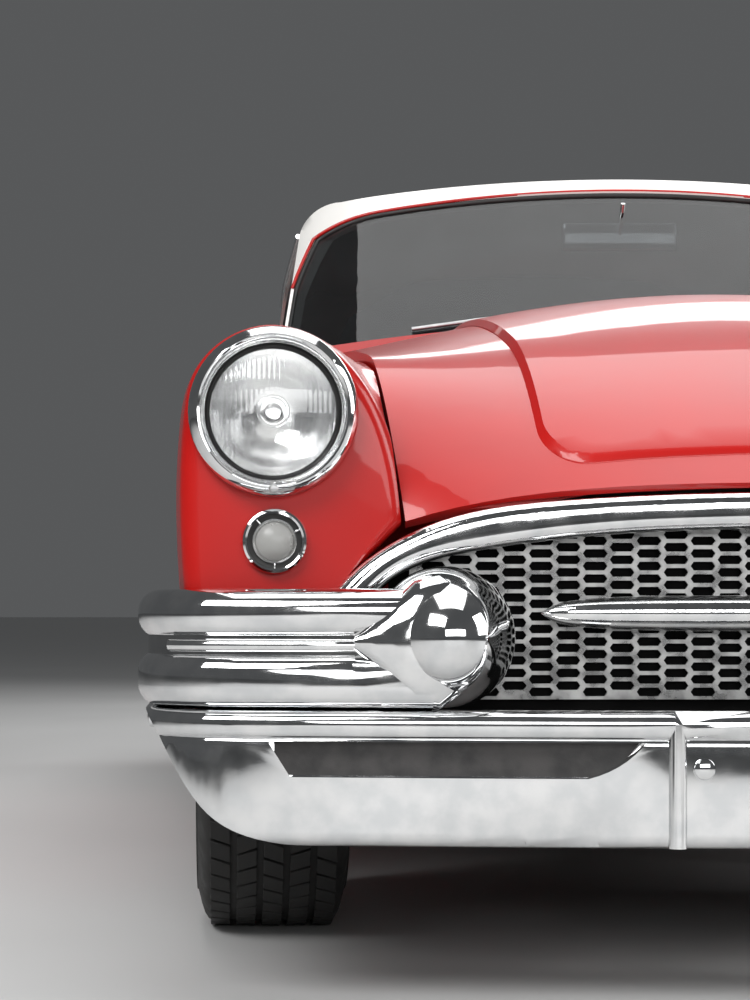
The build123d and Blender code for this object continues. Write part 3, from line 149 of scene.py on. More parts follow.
looks = {
    "redPaint": {"dark": (0.40, 0.004, 0.003), "light": (0.47, 0.006, 0.004), "mottleScale": 3.0,
                 "rough": (0.30, 0.36), "grainScale": 260.0, "grainStrength": 0.012,
                 "sockets": {"Coat Weight": 0.45, "Coat Roughness": 0.03, "Specular IOR Level": 0.3}},
    "whitePaint": {"dark": (0.80, 0.79, 0.76), "light": (0.86, 0.85, 0.82), "mottleScale": 3.0,
                   "rough": (0.28, 0.34), "grainScale": 260.0, "grainStrength": 0.012,
                   "sockets": {"Coat Weight": 1.0, "Coat Roughness": 0.04}},
    "chrome": {"dark": (0.66, 0.67, 0.68), "light": (0.80, 0.80, 0.80), "mottleScale": 26.0,
               "rough": (0.035, 0.10), "grainScale": 400.0, "grainStrength": 0.008,
               "sockets": {"Metallic": 1.0}},
    "grilleSilver": {"dark": (0.22, 0.22, 0.22), "light": (0.38, 0.38, 0.375), "mottleScale": 40.0,
                     "rough": (0.22, 0.42), "grainScale": 700.0, "grainStrength": 0.05,
                     "sockets": {"Metallic": 1.0}},
    "chassisBlack": {"dark": (0.010, 0.010, 0.011), "light": (0.030, 0.028, 0.026), "mottleScale": 9.0,
                     "rough": (0.45, 0.75), "grainScale": 500.0, "grainStrength": 0.10},
    "castIron": {"dark": (0.06, 0.055, 0.05), "light": (0.13, 0.12, 0.11), "mottleScale": 14.0,
                 "rough": (0.55, 0.8), "grainScale": 420.0, "grainStrength": 0.25,
                 "sockets": {"Metallic": 0.6}},
    "steel": {"dark": (0.34, 0.34, 0.35), "light": (0.52, 0.52, 0.52), "mottleScale": 18.0,
              "rough": (0.28, 0.5), "grainScale": 600.0, "grainStrength": 0.06,
              "sockets": {"Metallic": 1.0}},
    "tyreRubber": {"dark": (0.010, 0.010, 0.010), "light": (0.024, 0.023, 0.022), "mottleScale": 30.0,
                   "rough": (0.55, 0.8), "grainScale": 900.0, "grainStrength": 0.14},
    "sealRubber": {"dark": (0.006, 0.006, 0.006), "light": (0.016, 0.016, 0.016), "mottleScale": 40.0,
                   "rough": (0.4, 0.65), "grainScale": 900.0, "grainStrength": 0.08},
    "redLeather": {"dark": (0.20, 0.012, 0.010), "light": (0.32, 0.020, 0.016), "mottleScale": 18.0,
                   "rough": (0.38, 0.58), "grainScale": 380.0, "grainStrength": 0.28},
    "carpet": {"dark": (0.030, 0.012, 0.010), "light": (0.075, 0.030, 0.026), "mottleScale": 160.0,
               "rough": (0.85, 1.0), "grainScale": 1400.0, "grainStrength": 0.9, "grainDistance": 0.003},
    "mirrorSilver": {"dark": (0.86, 0.86, 0.86), "light": (0.95, 0.95, 0.94), "mottleScale": 30.0,
                     "rough": (0.12, 0.22), "grainScale": 500.0, "grainStrength": 0.02,
                     "sockets": {"Metallic": 1.0}},
    # Flat black of the sheet behind the grille, painted shade seen through its holes
    "shadeBlack": {"dark": (0.002, 0.002, 0.002), "light": (0.005, 0.005, 0.005), "mottleScale": 12.0,
                  "rough": (0.85, 1.0), "grainScale": 600.0, "grainStrength": 0.1,
                  "sockets": {"Specular IOR Level": 0.1}},
    # Dark mottled grey of the sheets at the back of the bumper slots, painted shade in the recesses
    "slotShadeGrey": {"dark": (0.012, 0.0115, 0.0115), "light": (0.060, 0.056, 0.055), "mottleScale": 22.0,
                 "mottleDetail": 10.0, "rough": (0.42, 0.7), "grainScale": 520.0, "grainStrength": 0.2},
    "tailRed": {"dark": (0.42, 0.006, 0.006), "light": (0.60, 0.012, 0.010), "mottleScale": 40.0,
                "rough": (0.06, 0.14), "grainScale": 300.0, "grainStrength": 0.05,
                "sockets": {"Coat Weight": 1.0, "Transmission Weight": 0.35}},
}
mats = {name: finish(name, look) for name, look in looks.items()}


glassHaze = {"scale": 7.0, "detail": 8.0, "low": 0.42, "high": 0.75}
glassRise, glassIor = 1.12, 1.45


def glassFinish(name, tint, rough, weight):
    mat = bpy.data.materials.new(name)
    mat.use_nodes = True
    tree = mat.node_tree
    shader = tree.nodes["Principled BSDF"]
    mask = addGroup(tree, mottle, **glassHaze)["Mask"]
    paler = tuple(min(1.0, c * glassRise) for c in tint)
    tree.links.new(ramp(tree, mask, [(0.0, tint), (1.0, paler)]), shader.inputs["Base Color"])
    tree.links.new(spread(tree, mask, *rough), shader.inputs["Roughness"])
    shader.inputs["IOR"].default_value = glassIor
    shader.inputs["Transmission Weight"].default_value = weight
    return mat


mats["glass"] = glassFinish("glass", (0.17, 0.18, 0.185), (0.0, 0.05), 0.97)
mats["lampGlass"] = glassFinish("lampGlass", (0.95, 0.96, 0.97), (0.0, 0.05), 0.97)
mats["frostGlass"] = glassFinish("frostGlass", (0.62, 0.62, 0.60), (0.25, 0.45), 0.55)
print("stage: materials")

nodeFinish = {
    "redPaint": ["front_fender_left", "front_fender_right", "door_left", "door_right", "sills", "rear_quarter_left",
                 "rear_quarter_right", "cowl", "rear_deck", "hood", "trunk_lid", "tail_panel", "dashboard"],
    "whitePaint": ["roof"],
    "glass": ["windshield", "rear_window", "door_glass_left", "door_glass_right", "quarter_glass"],
    "chrome": ["front_bumper", "rear_bumper", "bumper_bars", "headlamp_bezels", "grille_surround",
               "grille_bar", "wheel_front_left", "wheel_front_right", "wheel_rear_left", "wheel_rear_right"],
    "tailRed": ["tail_lamps"],
    "chassisBlack": ["inner_fenders", "wheelhouses", "frame_rails", "crossmembers", "front_suspension",
                     "rear_springs", "radiator", "fuel_tank", "steering_column"],
    "carpet": ["floor_pan"],
    "castIron": ["engine_block", "rear_axle", "driveshaft", "knuckle_left", "knuckle_right"],
    "steel": ["exhaust"],
    "sealRubber": ["steering_wheel"],
}
finishOf = {n: f for f, group in nodeFinish.items() for n in group}


def addPiece(name, mesh, material, body, stands=()):
    obj = bpy.data.objects.new(name, mesh)
    bpy.context.scene.collection.objects.link(obj)
    mesh.materials.clear()
    mesh.materials.append(mats[material])
    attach(obj, body)
    if stands:
        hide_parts(*stands)
    return obj


crease = 32.0
near = {"solid": 2e-5, "sliver": 1e-6, "shape": 2e-6}


def softShade(work, angle):
    # Smooth faces with hard edges past the angle, in degrees
    for face in work.faces:
        face.smooth = True
    for edge in work.edges:
        edge.smooth = len(edge.link_faces) == 2 and edge.calc_face_angle(0.0) < math.radians(angle)


def weldedMesh(name):
    work = bmesh.new()
    work.from_mesh(nodes[name].data)
    bmesh.ops.remove_doubles(work, verts=work.verts, dist=near["solid"])
    bmesh.ops.dissolve_degenerate(work, edges=work.edges, dist=near["sliver"])
    softShade(work, crease)
    mesh = bpy.data.meshes.new(name + "Skin")
    work.to_mesh(mesh)
    work.free()
    old = mesh.attributes.get("custom_normal")
    if old:
        mesh.attributes.remove(old)
    return mesh


for name, look in finishOf.items():
    addPiece(name + "Skin", weldedMesh(name), look, bodyOf[name], (name,))
print("stage: panels")


# Helpers for new pieces
def station(mm):
    return (mm - 2625.0) / 1000.0


def evenly(start, stop, count):
    return [start + (stop - start) * number / (count - 1) for number in range(count)]


def shapeMesh(work, name, angle=crease):
    bmesh.ops.remove_doubles(work, verts=work.verts, dist=near["shape"])
    bmesh.ops.recalc_face_normals(work, faces=work.faces)
    softShade(work, angle)
    mesh = bpy.data.meshes.new(name)
    work.to_mesh(mesh)
    work.free()
    return mesh


def turn(work, profile, centre, axis, steps=48):
    # Profile of (radius, reach) in millimetres, turned about an axis through the centre
    axis = Vector(axis).normalized()
    across = axis.orthogonal().normalized()
    verts = [work.verts.new(Vector(centre) + across * r / 1000 + axis * f / 1000) for r, f in profile]
    edges = [work.edges.new(pair) for pair in zip(verts, verts[1:])]
    bmesh.ops.spin(work, geom=verts + edges, cent=centre, axis=axis, angle=2 * math.pi, steps=steps, use_merge=True)


def slab(work, size, matrix, bevel=0.0, segments=2):
    made = bmesh.ops.create_cube(work, size=1.0, matrix=matrix @ Matrix.Diagonal((*size, 1.0)))
    if bevel:
        edges = list(dict.fromkeys(e for v in made["verts"] for e in v.link_edges))
        bmesh.ops.bevel(work, geom=edges, offset=bevel, affect="EDGES", segments=segments, profile=0.5, material=-1)


def tubeMesh(name, points, radius, closed=False, smooth=True):
    curve = bpy.data.curves.new(name, "CURVE")
    curve.dimensions = "3D"
    curve.bevel_depth = radius
    curve.bevel_resolution = 3
    curve.use_fill_caps = not closed
    line = curve.splines.new("NURBS" if smooth else "POLY")
    line.points.add(len(points) - 1)
    for knot, place in zip(line.points, points):
        knot.co = (*place, 1.0)
    if smooth:
        line.order_u = 3
        line.use_endpoint_u = not closed
        line.resolution_u = 4
    line.use_cyclic_u = closed
    holder = bpy.data.objects.new(name, curve)
    mesh = bpy.data.meshes.new_from_object(holder)
    bpy.data.objects.remove(holder)
    mesh.shade_smooth()
    return mesh


def surfaceOf(*names):
    work = bmesh.new()
    for name in names:
        work.from_mesh(nodes[name].data)
    tree = BVHTree.FromBMesh(work)
    work.free()
    return tree


def touch(tree, start, aim, lift=0.0):
    place, normal = tree.ray_cast(Vector(start), Vector(aim))[:2]
    if normal.dot(Vector(aim)) > 0:
        normal = -normal
    return place + normal * lift


# Starts well outside the car for points looked up from the front, the rear, a side and above
forward = (0, -1, 0)
outside = {"front": -3.0, "rear": 4.0, "side": 1.4, "top": 2.0}


def frontSpot(face, x, z, lift=0.0):
    return touch(face, (x, outside["front"], z), (0, 1, 0), lift)


def rearSpot(face, x, z, lift=0.0):
    return touch(face, (x, outside["rear"], z), (0, -1, 0), lift)


def sideSpot(face, sign, along, z, lift=0.0):
    return touch(face, (sign * outside["side"], station(along), z), (-sign, 0, 0), lift)


def sideRun(face, sign, run, start, stop):
    return [sideSpot(face, sign, along, run["z"], run["lift"]) for along in evenly(start, stop, run["count"])]


def put(name, mesh, material, body="car_body", stands=()):
    return addPiece(name, mesh, material, body, stands)


def merged(*meshes):
    work = bmesh.new()
    for mesh in meshes:
        work.from_mesh(mesh)
    mesh = bpy.data.meshes.new("merged")
    work.to_mesh(mesh)
    work.free()
    return mesh


sides = {"left": 1.0, "right": -1.0}
ends = {"front": 880.0, "rear": 3979.0}

# Tyres with five ribs of slanted blocks
tyre = {"radius": 357.0, "wheelX": 0.780, "pitches": 60, "ribs": (-82, -41, 0, 41, 82),
        "block": (0.031, 0.0325, 0.010), "slant": 0.42, "middle": 352.0, "crown": 0.02, "bevel": 0.0012,
        "sideRings": ((297, 118), (240, 109)), "ringShape": ((-3, -2), (-1.5, 1.5), (1.5, 1.5), (3, -2)),
        "carcass": ((190, -86), (205, -95), (226, -104), (252, -114), (276, -118), (300, -117.5), (322, -112),
                    (337, -107), (346, -101), (349, -94), (349, 94), (346, 101), (337, 107), (322, 112),
                    (300, 117.5), (276, 118), (252, 114), (226, 104), (205, 95), (190, 86), (190, -86))}


def tyreMesh(name, centre):
    work = bmesh.new()
    turn(work, tyre["carcass"], centre, (1, 0, 0), 96)
    for ring, reach in tyre["sideRings"]:
        for side in (-1, 1):
            turn(work, [(ring + r, side * (reach + f)) for r, f in tyre["ringShape"]], centre, (1, 0, 0), 72)
    for rib, place in enumerate(tyre["ribs"]):
        lift = tyre["middle"] - abs(place) * tyre["crown"]
        shear = Matrix.Identity(4)
        shear[1][0] = tyre["slant"] * (1 if rib % 2 else -1)
        for pitch in range(tyre["pitches"]):
            turnBy = 2 * math.pi * (pitch + 0.5 * (rib % 2)) / tyre["pitches"]
            spot = Matrix.Translation(centre) @ Matrix.Rotation(turnBy, 4, "X")
            spot = spot @ Matrix.Translation((place / 1000, 0, lift / 1000)) @ shear
            slab(work, tyre["block"], spot, tyre["bevel"], 1)
    return shapeMesh(work, name, 40)


wheelCover = {"ribs": 30, "rib": (0.006, 0.046, 0.007), "ribRadius": 0.134, "ribReach": 0.083, "ribTilt": -0.22,
              "bevel": 0.002,
              "cap": ((62, 88), (62, 95), (58, 98.5), (52, 97), (48, 93), (40, 100), (24, 104), (0, 105)),
              "beads": ((172, 86), (98, 88)), "beadShape": ((-5, -6), (-4, 0), (0, 3), (4, 0), (5, -6))}


def coverMesh(name, centre, outward):
    work = bmesh.new()
    axis = Vector((outward, 0, 0))
    turn(work, wheelCover["cap"], centre, axis, 48)
    for ring, reach in wheelCover["beads"]:
        turn(work, [(ring + r, reach + f) for r, f in wheelCover["beadShape"]], centre, axis, 72)
    for number in range(wheelCover["ribs"]):
        spot = Matrix.Translation(centre) @ Matrix.Rotation(2 * math.pi * number / wheelCover["ribs"], 4, "X")
        spot = spot @ Matrix.Translation((outward * wheelCover["ribReach"], wheelCover["ribRadius"], 0))
        spot = spot @ Matrix.Rotation(outward * wheelCover["ribTilt"], 4, "Z")
        slab(work, wheelCover["rib"], spot, wheelCover["bevel"])
    return shapeMesh(work, name, 40)


for end, axle in ends.items():
    for side, sign in sides.items():
        name = end + "_" + side
        centre = Vector((sign * tyre["wheelX"], station(axle), tyre["radius"] / 1000))
        put("roadTyre." + name, tyreMesh("roadTyre", centre), "tyreRubber", "wheel_" + name, ("tyre_" + name,))
        put("wheelCover." + name, coverMesh("wheelCover", centre, sign), "chrome", "wheel_" + name)
print("stage: wheels")

# Headlamps: fluted glass over a bright bowl, with a rubber ring and one screw
lamp = {"x": 0.790, "z": 0.781, "face": 172.0,
        "bowl": ((86.5, 4), (85, -2), (72, -14), (52, -24), (30, -31), (12, -34), (0, -34.5)),
        "lens": 0.0868, "curve": 0.224, "dome": 0.024, "cells": 130, "flute": 0.0068, "fluteDepth": 0.0006,
        "plain": 0.026, "fade": 0.006, "wall": 0.0024, "screwDrop": 0.1035, "screwSlot": (0.009, 0.002, 0.0016),
        "slotReach": 0.0403,
        "boss": ((0, 27), (7, 26.6), (10, 25), (11, 22.5)),
        "ringBoss": ((17, 22.5), (18, 24.6), (21, 24.6), (22, 22)),
        "shield": ((0, 6), (9, 5), (13, 1), (13, -20), (11, -22)),
        "gasket": ((84.2, 1), (85.4, 9), (88.2, 11.5), (90.8, 10), (90.8, 1)),
        "screw": ((6.5, 33), (6.5, 37.5), (4, 40), (0, 40.6))}


def lensMesh(name, centre):
    # Domed pane with upright flutes round a plain middle
    work = bmesh.new()
    bmesh.ops.create_grid(work, x_segments=lamp["cells"], y_segments=lamp["cells"], size=lamp["lens"])
    beyond = [f for f in work.faces if f.calc_center_median().length > lamp["lens"]]
    bmesh.ops.delete(work, geom=beyond, context="FACES")
    for vert in work.verts:
        x, z = vert.co.x, vert.co.y
        far = math.hypot(x, z)
        sink = lamp["curve"] - math.sqrt(lamp["curve"] ** 2 - far ** 2)
        fade = min(1.0, max(0.0, (far - lamp["plain"]) / lamp["fade"]))
        groove = lamp["fluteDepth"] * fade * abs(math.sin(math.pi * x / lamp["flute"]))
        vert.co = centre + Vector((x, sink - lamp["dome"] - groove, z))
    bmesh.ops.recalc_face_normals(work, faces=work.faces)
    bmesh.ops.solidify(work, geom=list(work.faces), thickness=lamp["wall"])
    return shapeMesh(work, name, 60)


for side, sign in sides.items():
    centre = Vector((sign * lamp["x"], station(lamp["face"]), lamp["z"]))
    work = bmesh.new()
    turn(work, lamp["bowl"], centre, forward, 64)
    turn(work, lamp["shield"], centre, forward, 32)
    put("lampBowl." + side, shapeMesh(work, "lampBowl"), "mirrorSilver")
    work = bmesh.new()
    turn(work, lamp["boss"], centre, forward, 32)
    turn(work, lamp["ringBoss"], centre, forward, 48)
    lens = merged(lensMesh("flutedLens", centre), shapeMesh(work, "lensBoss", 40))
    put("flutedLens." + side, lens, "lampGlass", "car_body", ("headlamp_lenses",))
    work = bmesh.new()
    turn(work, lamp["gasket"], centre, forward, 64)
    put("lampGasket." + side, shapeMesh(work, "lampGasket", 50), "sealRubber")
    work = bmesh.new()
    low = centre + Vector((0, 0, -lamp["screwDrop"]))
    turn(work, lamp["screw"], low, forward, 24)
    slab(work, lamp["screwSlot"], Matrix.Translation(low + Vector((0, -lamp["slotReach"], 0))))
    put("bezelScrew." + side, shapeMesh(work, "bezelScrew"), "steel")

# Parking lamps: chrome ring, dark dish with three spokes, small domed lens
parking = {"x": 0.788, "z": 0.609, "spokes": (25, 130, 270), "spoke": (0.0075, 0.003, 0.0022),
           "spokeReach": 0.0055, "spokeRadius": 0.0328, "bevel": 0.0006,
           "ring": ((44, 0.3), (44, 8), (42.5, 12), (39.5, 13.6), (36.8, 12), (36, 7), (36, 3)),
           "dish": ((36.5, 4), (30, 2.5), (0, 2.0)), "inner": ((29.5, 2.5), (29.5, 8), (27.5, 10), (26, 8)),
           "lens": ((0, 19.5), (10, 18), (18, 14.5), (24, 9.5), (26.5, 6), (26.5, 3), (0, 3))}
for side, sign in sides.items():
    centre = Vector((sign * parking["x"], station(lamp["face"]), parking["z"]))
    work = bmesh.new()
    turn(work, parking["ring"], centre, forward, 64)
    turn(work, parking["inner"], centre, forward, 48)
    hub = Matrix.Translation(centre + Vector((0, -parking["spokeReach"], 0)))
    for angle in parking["spokes"]:
        spot = hub @ Matrix.Rotation(-math.radians(angle), 4, "Y")
        spot = spot @ Matrix.Translation((parking["spokeRadius"], 0, 0))
        slab(work, parking["spoke"], spot, parking["bevel"])
    put("parkingRing." + side, shapeMesh(work, "parkingRing"), "chrome", "car_body", ("parking_lamps",))
    work = bmesh.new()
    turn(work, parking["dish"], centre, forward, 48)
    put("parkingDish." + side, shapeMesh(work, "parkingDish"), "sealRubber")
    work = bmesh.new()
    turn(work, parking["lens"], centre, forward, 48)
    put("parkingLens." + side, shapeMesh(work, "parkingLens", 40), "frostGlass")

# Tail lamps: chrome ring and boss on each red lens
tail = {"x": 0.770, "z": 0.720, "face": 5115.0,
        "ring": ((66, 0.3), (67, 8), (65, 14), (61, 17), (57, 14), (56, 8), (56, 0.3)),
        "boss": ((30, 26), (30, 34), (26, 38), (0, 41))}
for side, sign in sides.items():
    centre = Vector((sign * tail["x"], station(tail["face"]), tail["z"]))
    work = bmesh.new()
    turn(work, tail["ring"], centre, (0, 1, 0), 64)
    turn(work, tail["boss"], centre, (0, 1, 0), 48)
    put("tailRing." + side, shapeMesh(work, "tailRing"), "chrome")
print("stage: lamps")

# Grille: mesh trimmed to the arch, with a flat black sheet close behind it, painted shade seen through the holes
grille = {"corner": (0.600, 0.588), "slope": (0.55, 0.83)}
grilleShade = {"front": 184.0, "size": (1.270, 0.003, 0.283), "z": 0.4865, "bevel": 0.001}


def trimCorners(work):
    # Upper corners follow the arch of the surround
    for sign in sides.values():
        (x, z), (across, up) = grille["corner"], grille["slope"]
        bmesh.ops.bisect_plane(work, geom=work.verts[:] + work.edges[:] + work.faces[:], dist=near["sliver"],
                               clear_outer=True, plane_co=(sign * x, 0, z), plane_no=(sign * across, 0, up))


work = bmesh.new()
work.from_mesh(weldedMesh("grille_mesh"))
trimCorners(work)
put("grilleMesh", shapeMesh(work, "grilleMesh"), "grilleSilver", "car_body", ("grille_mesh",))
# Painted shade: a flat black sheet just behind the mesh, seen through its holes
work = bmesh.new()
slab(work, grilleShade["size"], Matrix.Translation((0, station(grilleShade["front"]), grilleShade["z"])), grilleShade["bevel"])
trimCorners(work)
put("grilleShadeSheet", shapeMesh(work, "grilleShadeSheet"), "shadeBlack")

# Front bumper: a dark mottled grey sheet at the back of each slot, painted shade in the recess, and domed bolt heads
slotShadeSheet = {"from": 0.322, "to": 0.790, "top": 0.3475, "bottom": 0.3030, "rise": 0.391, "floor": 46.6,
             "bow": 0.055, "bowAt": 0.840, "curve": 2.2, "cells": (40, 3)}
for side, sign in sides.items():
    work = bmesh.new()
    bmesh.ops.create_grid(work, x_segments=slotShadeSheet["cells"][0], y_segments=slotShadeSheet["cells"][1], size=0.5)
    for vert in work.verts:
        along, up = vert.co.x + 0.5, vert.co.y + 0.5
        x = slotShadeSheet["from"] + (slotShadeSheet["to"] - slotShadeSheet["from"]) * along
        cut = max(0.0, (slotShadeSheet["rise"] - x) / (slotShadeSheet["rise"] - slotShadeSheet["from"]))
        low = slotShadeSheet["bottom"] + (slotShadeSheet["top"] - slotShadeSheet["bottom"]) * cut ** slotShadeSheet["curve"]
        y = station(slotShadeSheet["floor"]) + slotShadeSheet["bow"] * (x / slotShadeSheet["bowAt"]) ** 2
        vert.co = (sign * x, y, low + (slotShadeSheet["top"] - low) * up)
    put("slotShadeSheet." + side, shapeMesh(work, "slotShadeSheet"), "slotShadeGrey")

bolt = {"head": ((14, -2), (14, 1.5), (12.5, 4), (8, 6.2), (0, 7)), "x": 0.245, "z": 0.315, "endStation": 230.0,
        "endZ": 0.372}
frontFace = surfaceOf("front_bumper")
for side, sign in sides.items():
    work = bmesh.new()
    turn(work, bolt["head"], frontSpot(frontFace, sign * bolt["x"], bolt["z"]), forward, 32)
    turn(work, bolt["head"], sideSpot(frontFace, sign, bolt["endStation"], bolt["endZ"]), (sign, 0, 0), 32)
    put("bumperBolt." + side, shapeMesh(work, "bumperBolt"), "chrome")

# Bullets with a smooth bell, and a fairing that tapers from each over the ends of the bars.
# The fairing's rows give reach from the bullet, station, half height and half depth.
bullet = {"x": 0.567, "z": 0.481, "rear": 122.0,
          "bell": ((0, 0), (93, 0), (94, 3), (93.4, 9), (90.5, 19), (86, 31), (80.5, 43), (75, 53), (70.5, 62),
                   (66, 71), (59.5, 82), (50, 94), (37, 106), (20, 115), (0, 119))}
for side, sign in sides.items():
    work = bmesh.new()
    turn(work, bullet["bell"], Vector((sign * bullet["x"], station(bullet["rear"]), bullet["z"])), forward, 72)
    put("bulletBell." + side, shapeMesh(work, "bulletBell", 50), "chrome", "car_body", ("bumper_bullets",))
fairing = {"x": 0.567, "z": 0.476, "steps": 32,
           "rows": ((-0.024, 70, 0.064, 0.014), (0.012, 63, 0.087, 0.033), (0.044, 65, 0.080, 0.037),
                    (0.074, 69, 0.053, 0.035), (0.100, 73, 0.029, 0.032), (0.121, 76, 0.012, 0.028))}
for side, sign in sides.items():
    work = bmesh.new()
    rings = []
    for away, middle, tall, deep in fairing["rows"]:
        place = Matrix.Translation((sign * (fairing["x"] + away), station(middle), fairing["z"]))
        place = place @ Matrix.Rotation(math.pi / 2, 4, "Y") @ Matrix.Diagonal((tall, deep, 1.0, 1.0))
        made = bmesh.ops.create_circle(work, cap_ends=False, segments=fairing["steps"], radius=1.0, matrix=place)
        rings.append(list(dict.fromkeys(e for v in made["verts"] for e in v.link_edges)))
    for ring, follow in zip(rings, rings[1:]):
        bmesh.ops.bridge_loops(work, edges=ring + follow)
    bmesh.ops.holes_fill(work, edges=rings[-1], sides=0)
    put("bulletFairing." + side, shapeMesh(work, "bulletFairing", 50), "chrome")

# Rounded bead on the strip between the upper bars, up to the fairing
bead = {"from": 0.705, "to": 0.925, "z": 0.4715, "radius": 0.0085, "count": 12, "lead": 0.018}
barFace = surfaceOf("bumper_bars")
for side, sign in sides.items():
    points = [frontSpot(barFace, sign * x, bead["z"]) for x in evenly(bead["from"], bead["to"], bead["count"])]
    points.insert(0, points[0] + Vector((-sign * bead["lead"], 0, 0)))
    put("barBead." + side, tubeMesh("barBead", points, bead["radius"]), "chrome")
print("stage: bumper")


# Rubber seals follow the rims of the panes
rimAngle = 50.0


def rimLoop(name, outward):
    # The outer face grows from its largest triangle to the sharp edges, and its border is walked in order
    work = bmesh.new()
    work.from_mesh(nodes[name].data)
    bmesh.ops.remove_doubles(work, verts=work.verts, dist=near["solid"])
    work.verts.index_update()
    work.verts.ensure_lookup_table()
    start = max(work.faces, key=lambda f: f.calc_area() * f.normal.dot(Vector(outward)))
    outer, queue = {start}, [start]
    while queue:
        for edge in queue.pop().edges:
            if len(edge.link_faces) == 2 and edge.calc_face_angle(0.0) < math.radians(rimAngle):
                fresh = [f for f in edge.link_faces if f not in outer]
                outer.update(fresh)
                queue.extend(fresh)
    follow = {}
    for face in work.faces:
        for corner in face.loops if face in outer else ():
            if not all(f in outer for f in corner.edge.link_faces):
                follow[corner.vert.index] = corner.link_loop_next.vert.index
    loop, at = [], min(follow)
    while at in follow:
        loop.append(work.verts[at].co.copy())
        at = follow.pop(at)
    work.free()
    return loop


panes = {"windshield": ((0, -1, 0.2), "car_body", 0.0062), "rear_window": ((0, 1, 0.2), "car_body", 0.0062),
         "door_glass_left": ((1, 0, 0), "door_left", 0.0042), "door_glass_right": ((-1, 0, 0), "door_right", 0.0042)}
for name, (outward, body, radius) in panes.items():
    loop = rimLoop(name, outward)
    put("paneSeal." + name, tubeMesh("paneSeal", loop, radius, True, False), "sealRubber", body)
print("stage: seals")

# Thin red strip outside the windscreen seal, along the pillars and header
redStrip = {"away": 0.0105, "radius": 0.0038, "above": 1.125, "upward": 2.4, "proud": 0.001}
loop = rimLoop("windshield", panes["windshield"][0])
middle = sum(loop, Vector()) / len(loop)
lowest = min(range(len(loop)), key=lambda i: loop[i].z)
points = []
for p in loop[lowest:] + loop[:lowest]:
    if p.z > redStrip["above"]:
        way = Vector((p.x - middle.x, 0, (p.z - middle.z) * redStrip["upward"])).normalized()
        points.append(p + way * redStrip["away"] + Vector((0, -redStrip["proud"], 0)))
put("headerStrip", tubeMesh("headerStrip", points, redStrip["radius"], False, False), "redPaint")

# Wipers lie along the foot of the windscreen
wiper = {"x": (-0.470, -0.180), "z": (1.090, 1.128), "count": 9, "shift": {"left": 0.62, "right": 0.0},
         "pivot": (-0.105, 1.112), "elbow": (0.06, -0.006, 0.0), "bladeLift": 0.007, "pivotLift": 0.004,
         "radius": 0.0046, "arm": 0.0042}
pane = surfaceOf("windshield", "cowl", "hood")
for side in sides:
    shift = wiper["shift"][side]
    spots = zip(evenly(*wiper["x"], wiper["count"]), evenly(*wiper["z"], wiper["count"]))
    blade = [frontSpot(pane, x + shift, z, wiper["bladeLift"]) for x, z in spots]
    foot = frontSpot(pane, wiper["pivot"][0] + shift, wiper["pivot"][1], wiper["pivotLift"])
    arm = [blade[4], blade[6] + Vector(wiper["elbow"]), foot]
    put("wiperBlade." + side, tubeMesh("wiperBlade", blade, wiper["radius"]), "steel")
    put("wiperArm." + side, tubeMesh("wiperArm", arm, wiper["arm"]), "chrome")

# Drip rails over the side windows
rail = {"from": 2150.0, "to": 3400.0, "z": 1.345, "radius": 0.0055, "count": 16, "lift": 0.003}
roofFace = surfaceOf("roof")
for side, sign in sides.items():
    points = sideRun(roofFace, sign, rail, rail["from"], rail["to"])
    put("dripRail." + side, tubeMesh("dripRail", points, rail["radius"]), "chrome")

# Side strips, one length on each panel
spear = {"z": 0.832, "radius": 0.0085, "count": 14, "lift": 0.001,
         "runs": {"front_fender": ("car_body", 470.0, 1735.0), "door": ("door", 1785.0, 3000.0),
                  "rear_quarter": ("car_body", 3045.0, 4700.0)}}
for side, sign in sides.items():
    for panel, (body, start, stop) in spear["runs"].items():
        points = sideRun(surfaceOf(panel + "_" + side), sign, spear, start, stop)
        rides = body if body == "car_body" else "door_" + side
        put("sideStrip." + panel + "." + side, tubeMesh("sideStrip", points, spear["radius"]), "chrome", rides)

# Door handles with a push button
handle = {"z": 0.905, "radius": 0.0085, "buttonAt": 2983.0, "button": ((11, -3), (11, 7), (9, 10), (0, 11)),
          "bow": ((2830.0, -0.004), (2838.0, 0.024), (2897.5, 0.030), (2953.0, 0.027), (2965.0, -0.004))}
for side, sign in sides.items():
    face = surfaceOf("door_" + side)
    points = [sideSpot(face, sign, along, handle["z"], lift) for along, lift in handle["bow"]]
    work = bmesh.new()
    turn(work, handle["button"], sideSpot(face, sign, handle["buttonAt"], handle["z"]), (sign, 0, 0), 32)
    put("doorHandle." + side, merged(tubeMesh("doorHandle", points, handle["radius"]), shapeMesh(work, "button")),
        "chrome", "door_" + side)
print("stage: trim")

# Sill strips between the wheels
sillStrip = {"from": 1775.0, "to": 3005.0, "z": 0.262, "radius": 0.010, "count": 8, "lift": 0.001}
sillFace = surfaceOf("sills")
for side, sign in sides.items():
    points = sideRun(sillFace, sign, sillStrip, sillStrip["from"], sillStrip["to"])
    put("sillStrip." + side, tubeMesh("sillStrip", points, sillStrip["radius"]), "chrome")

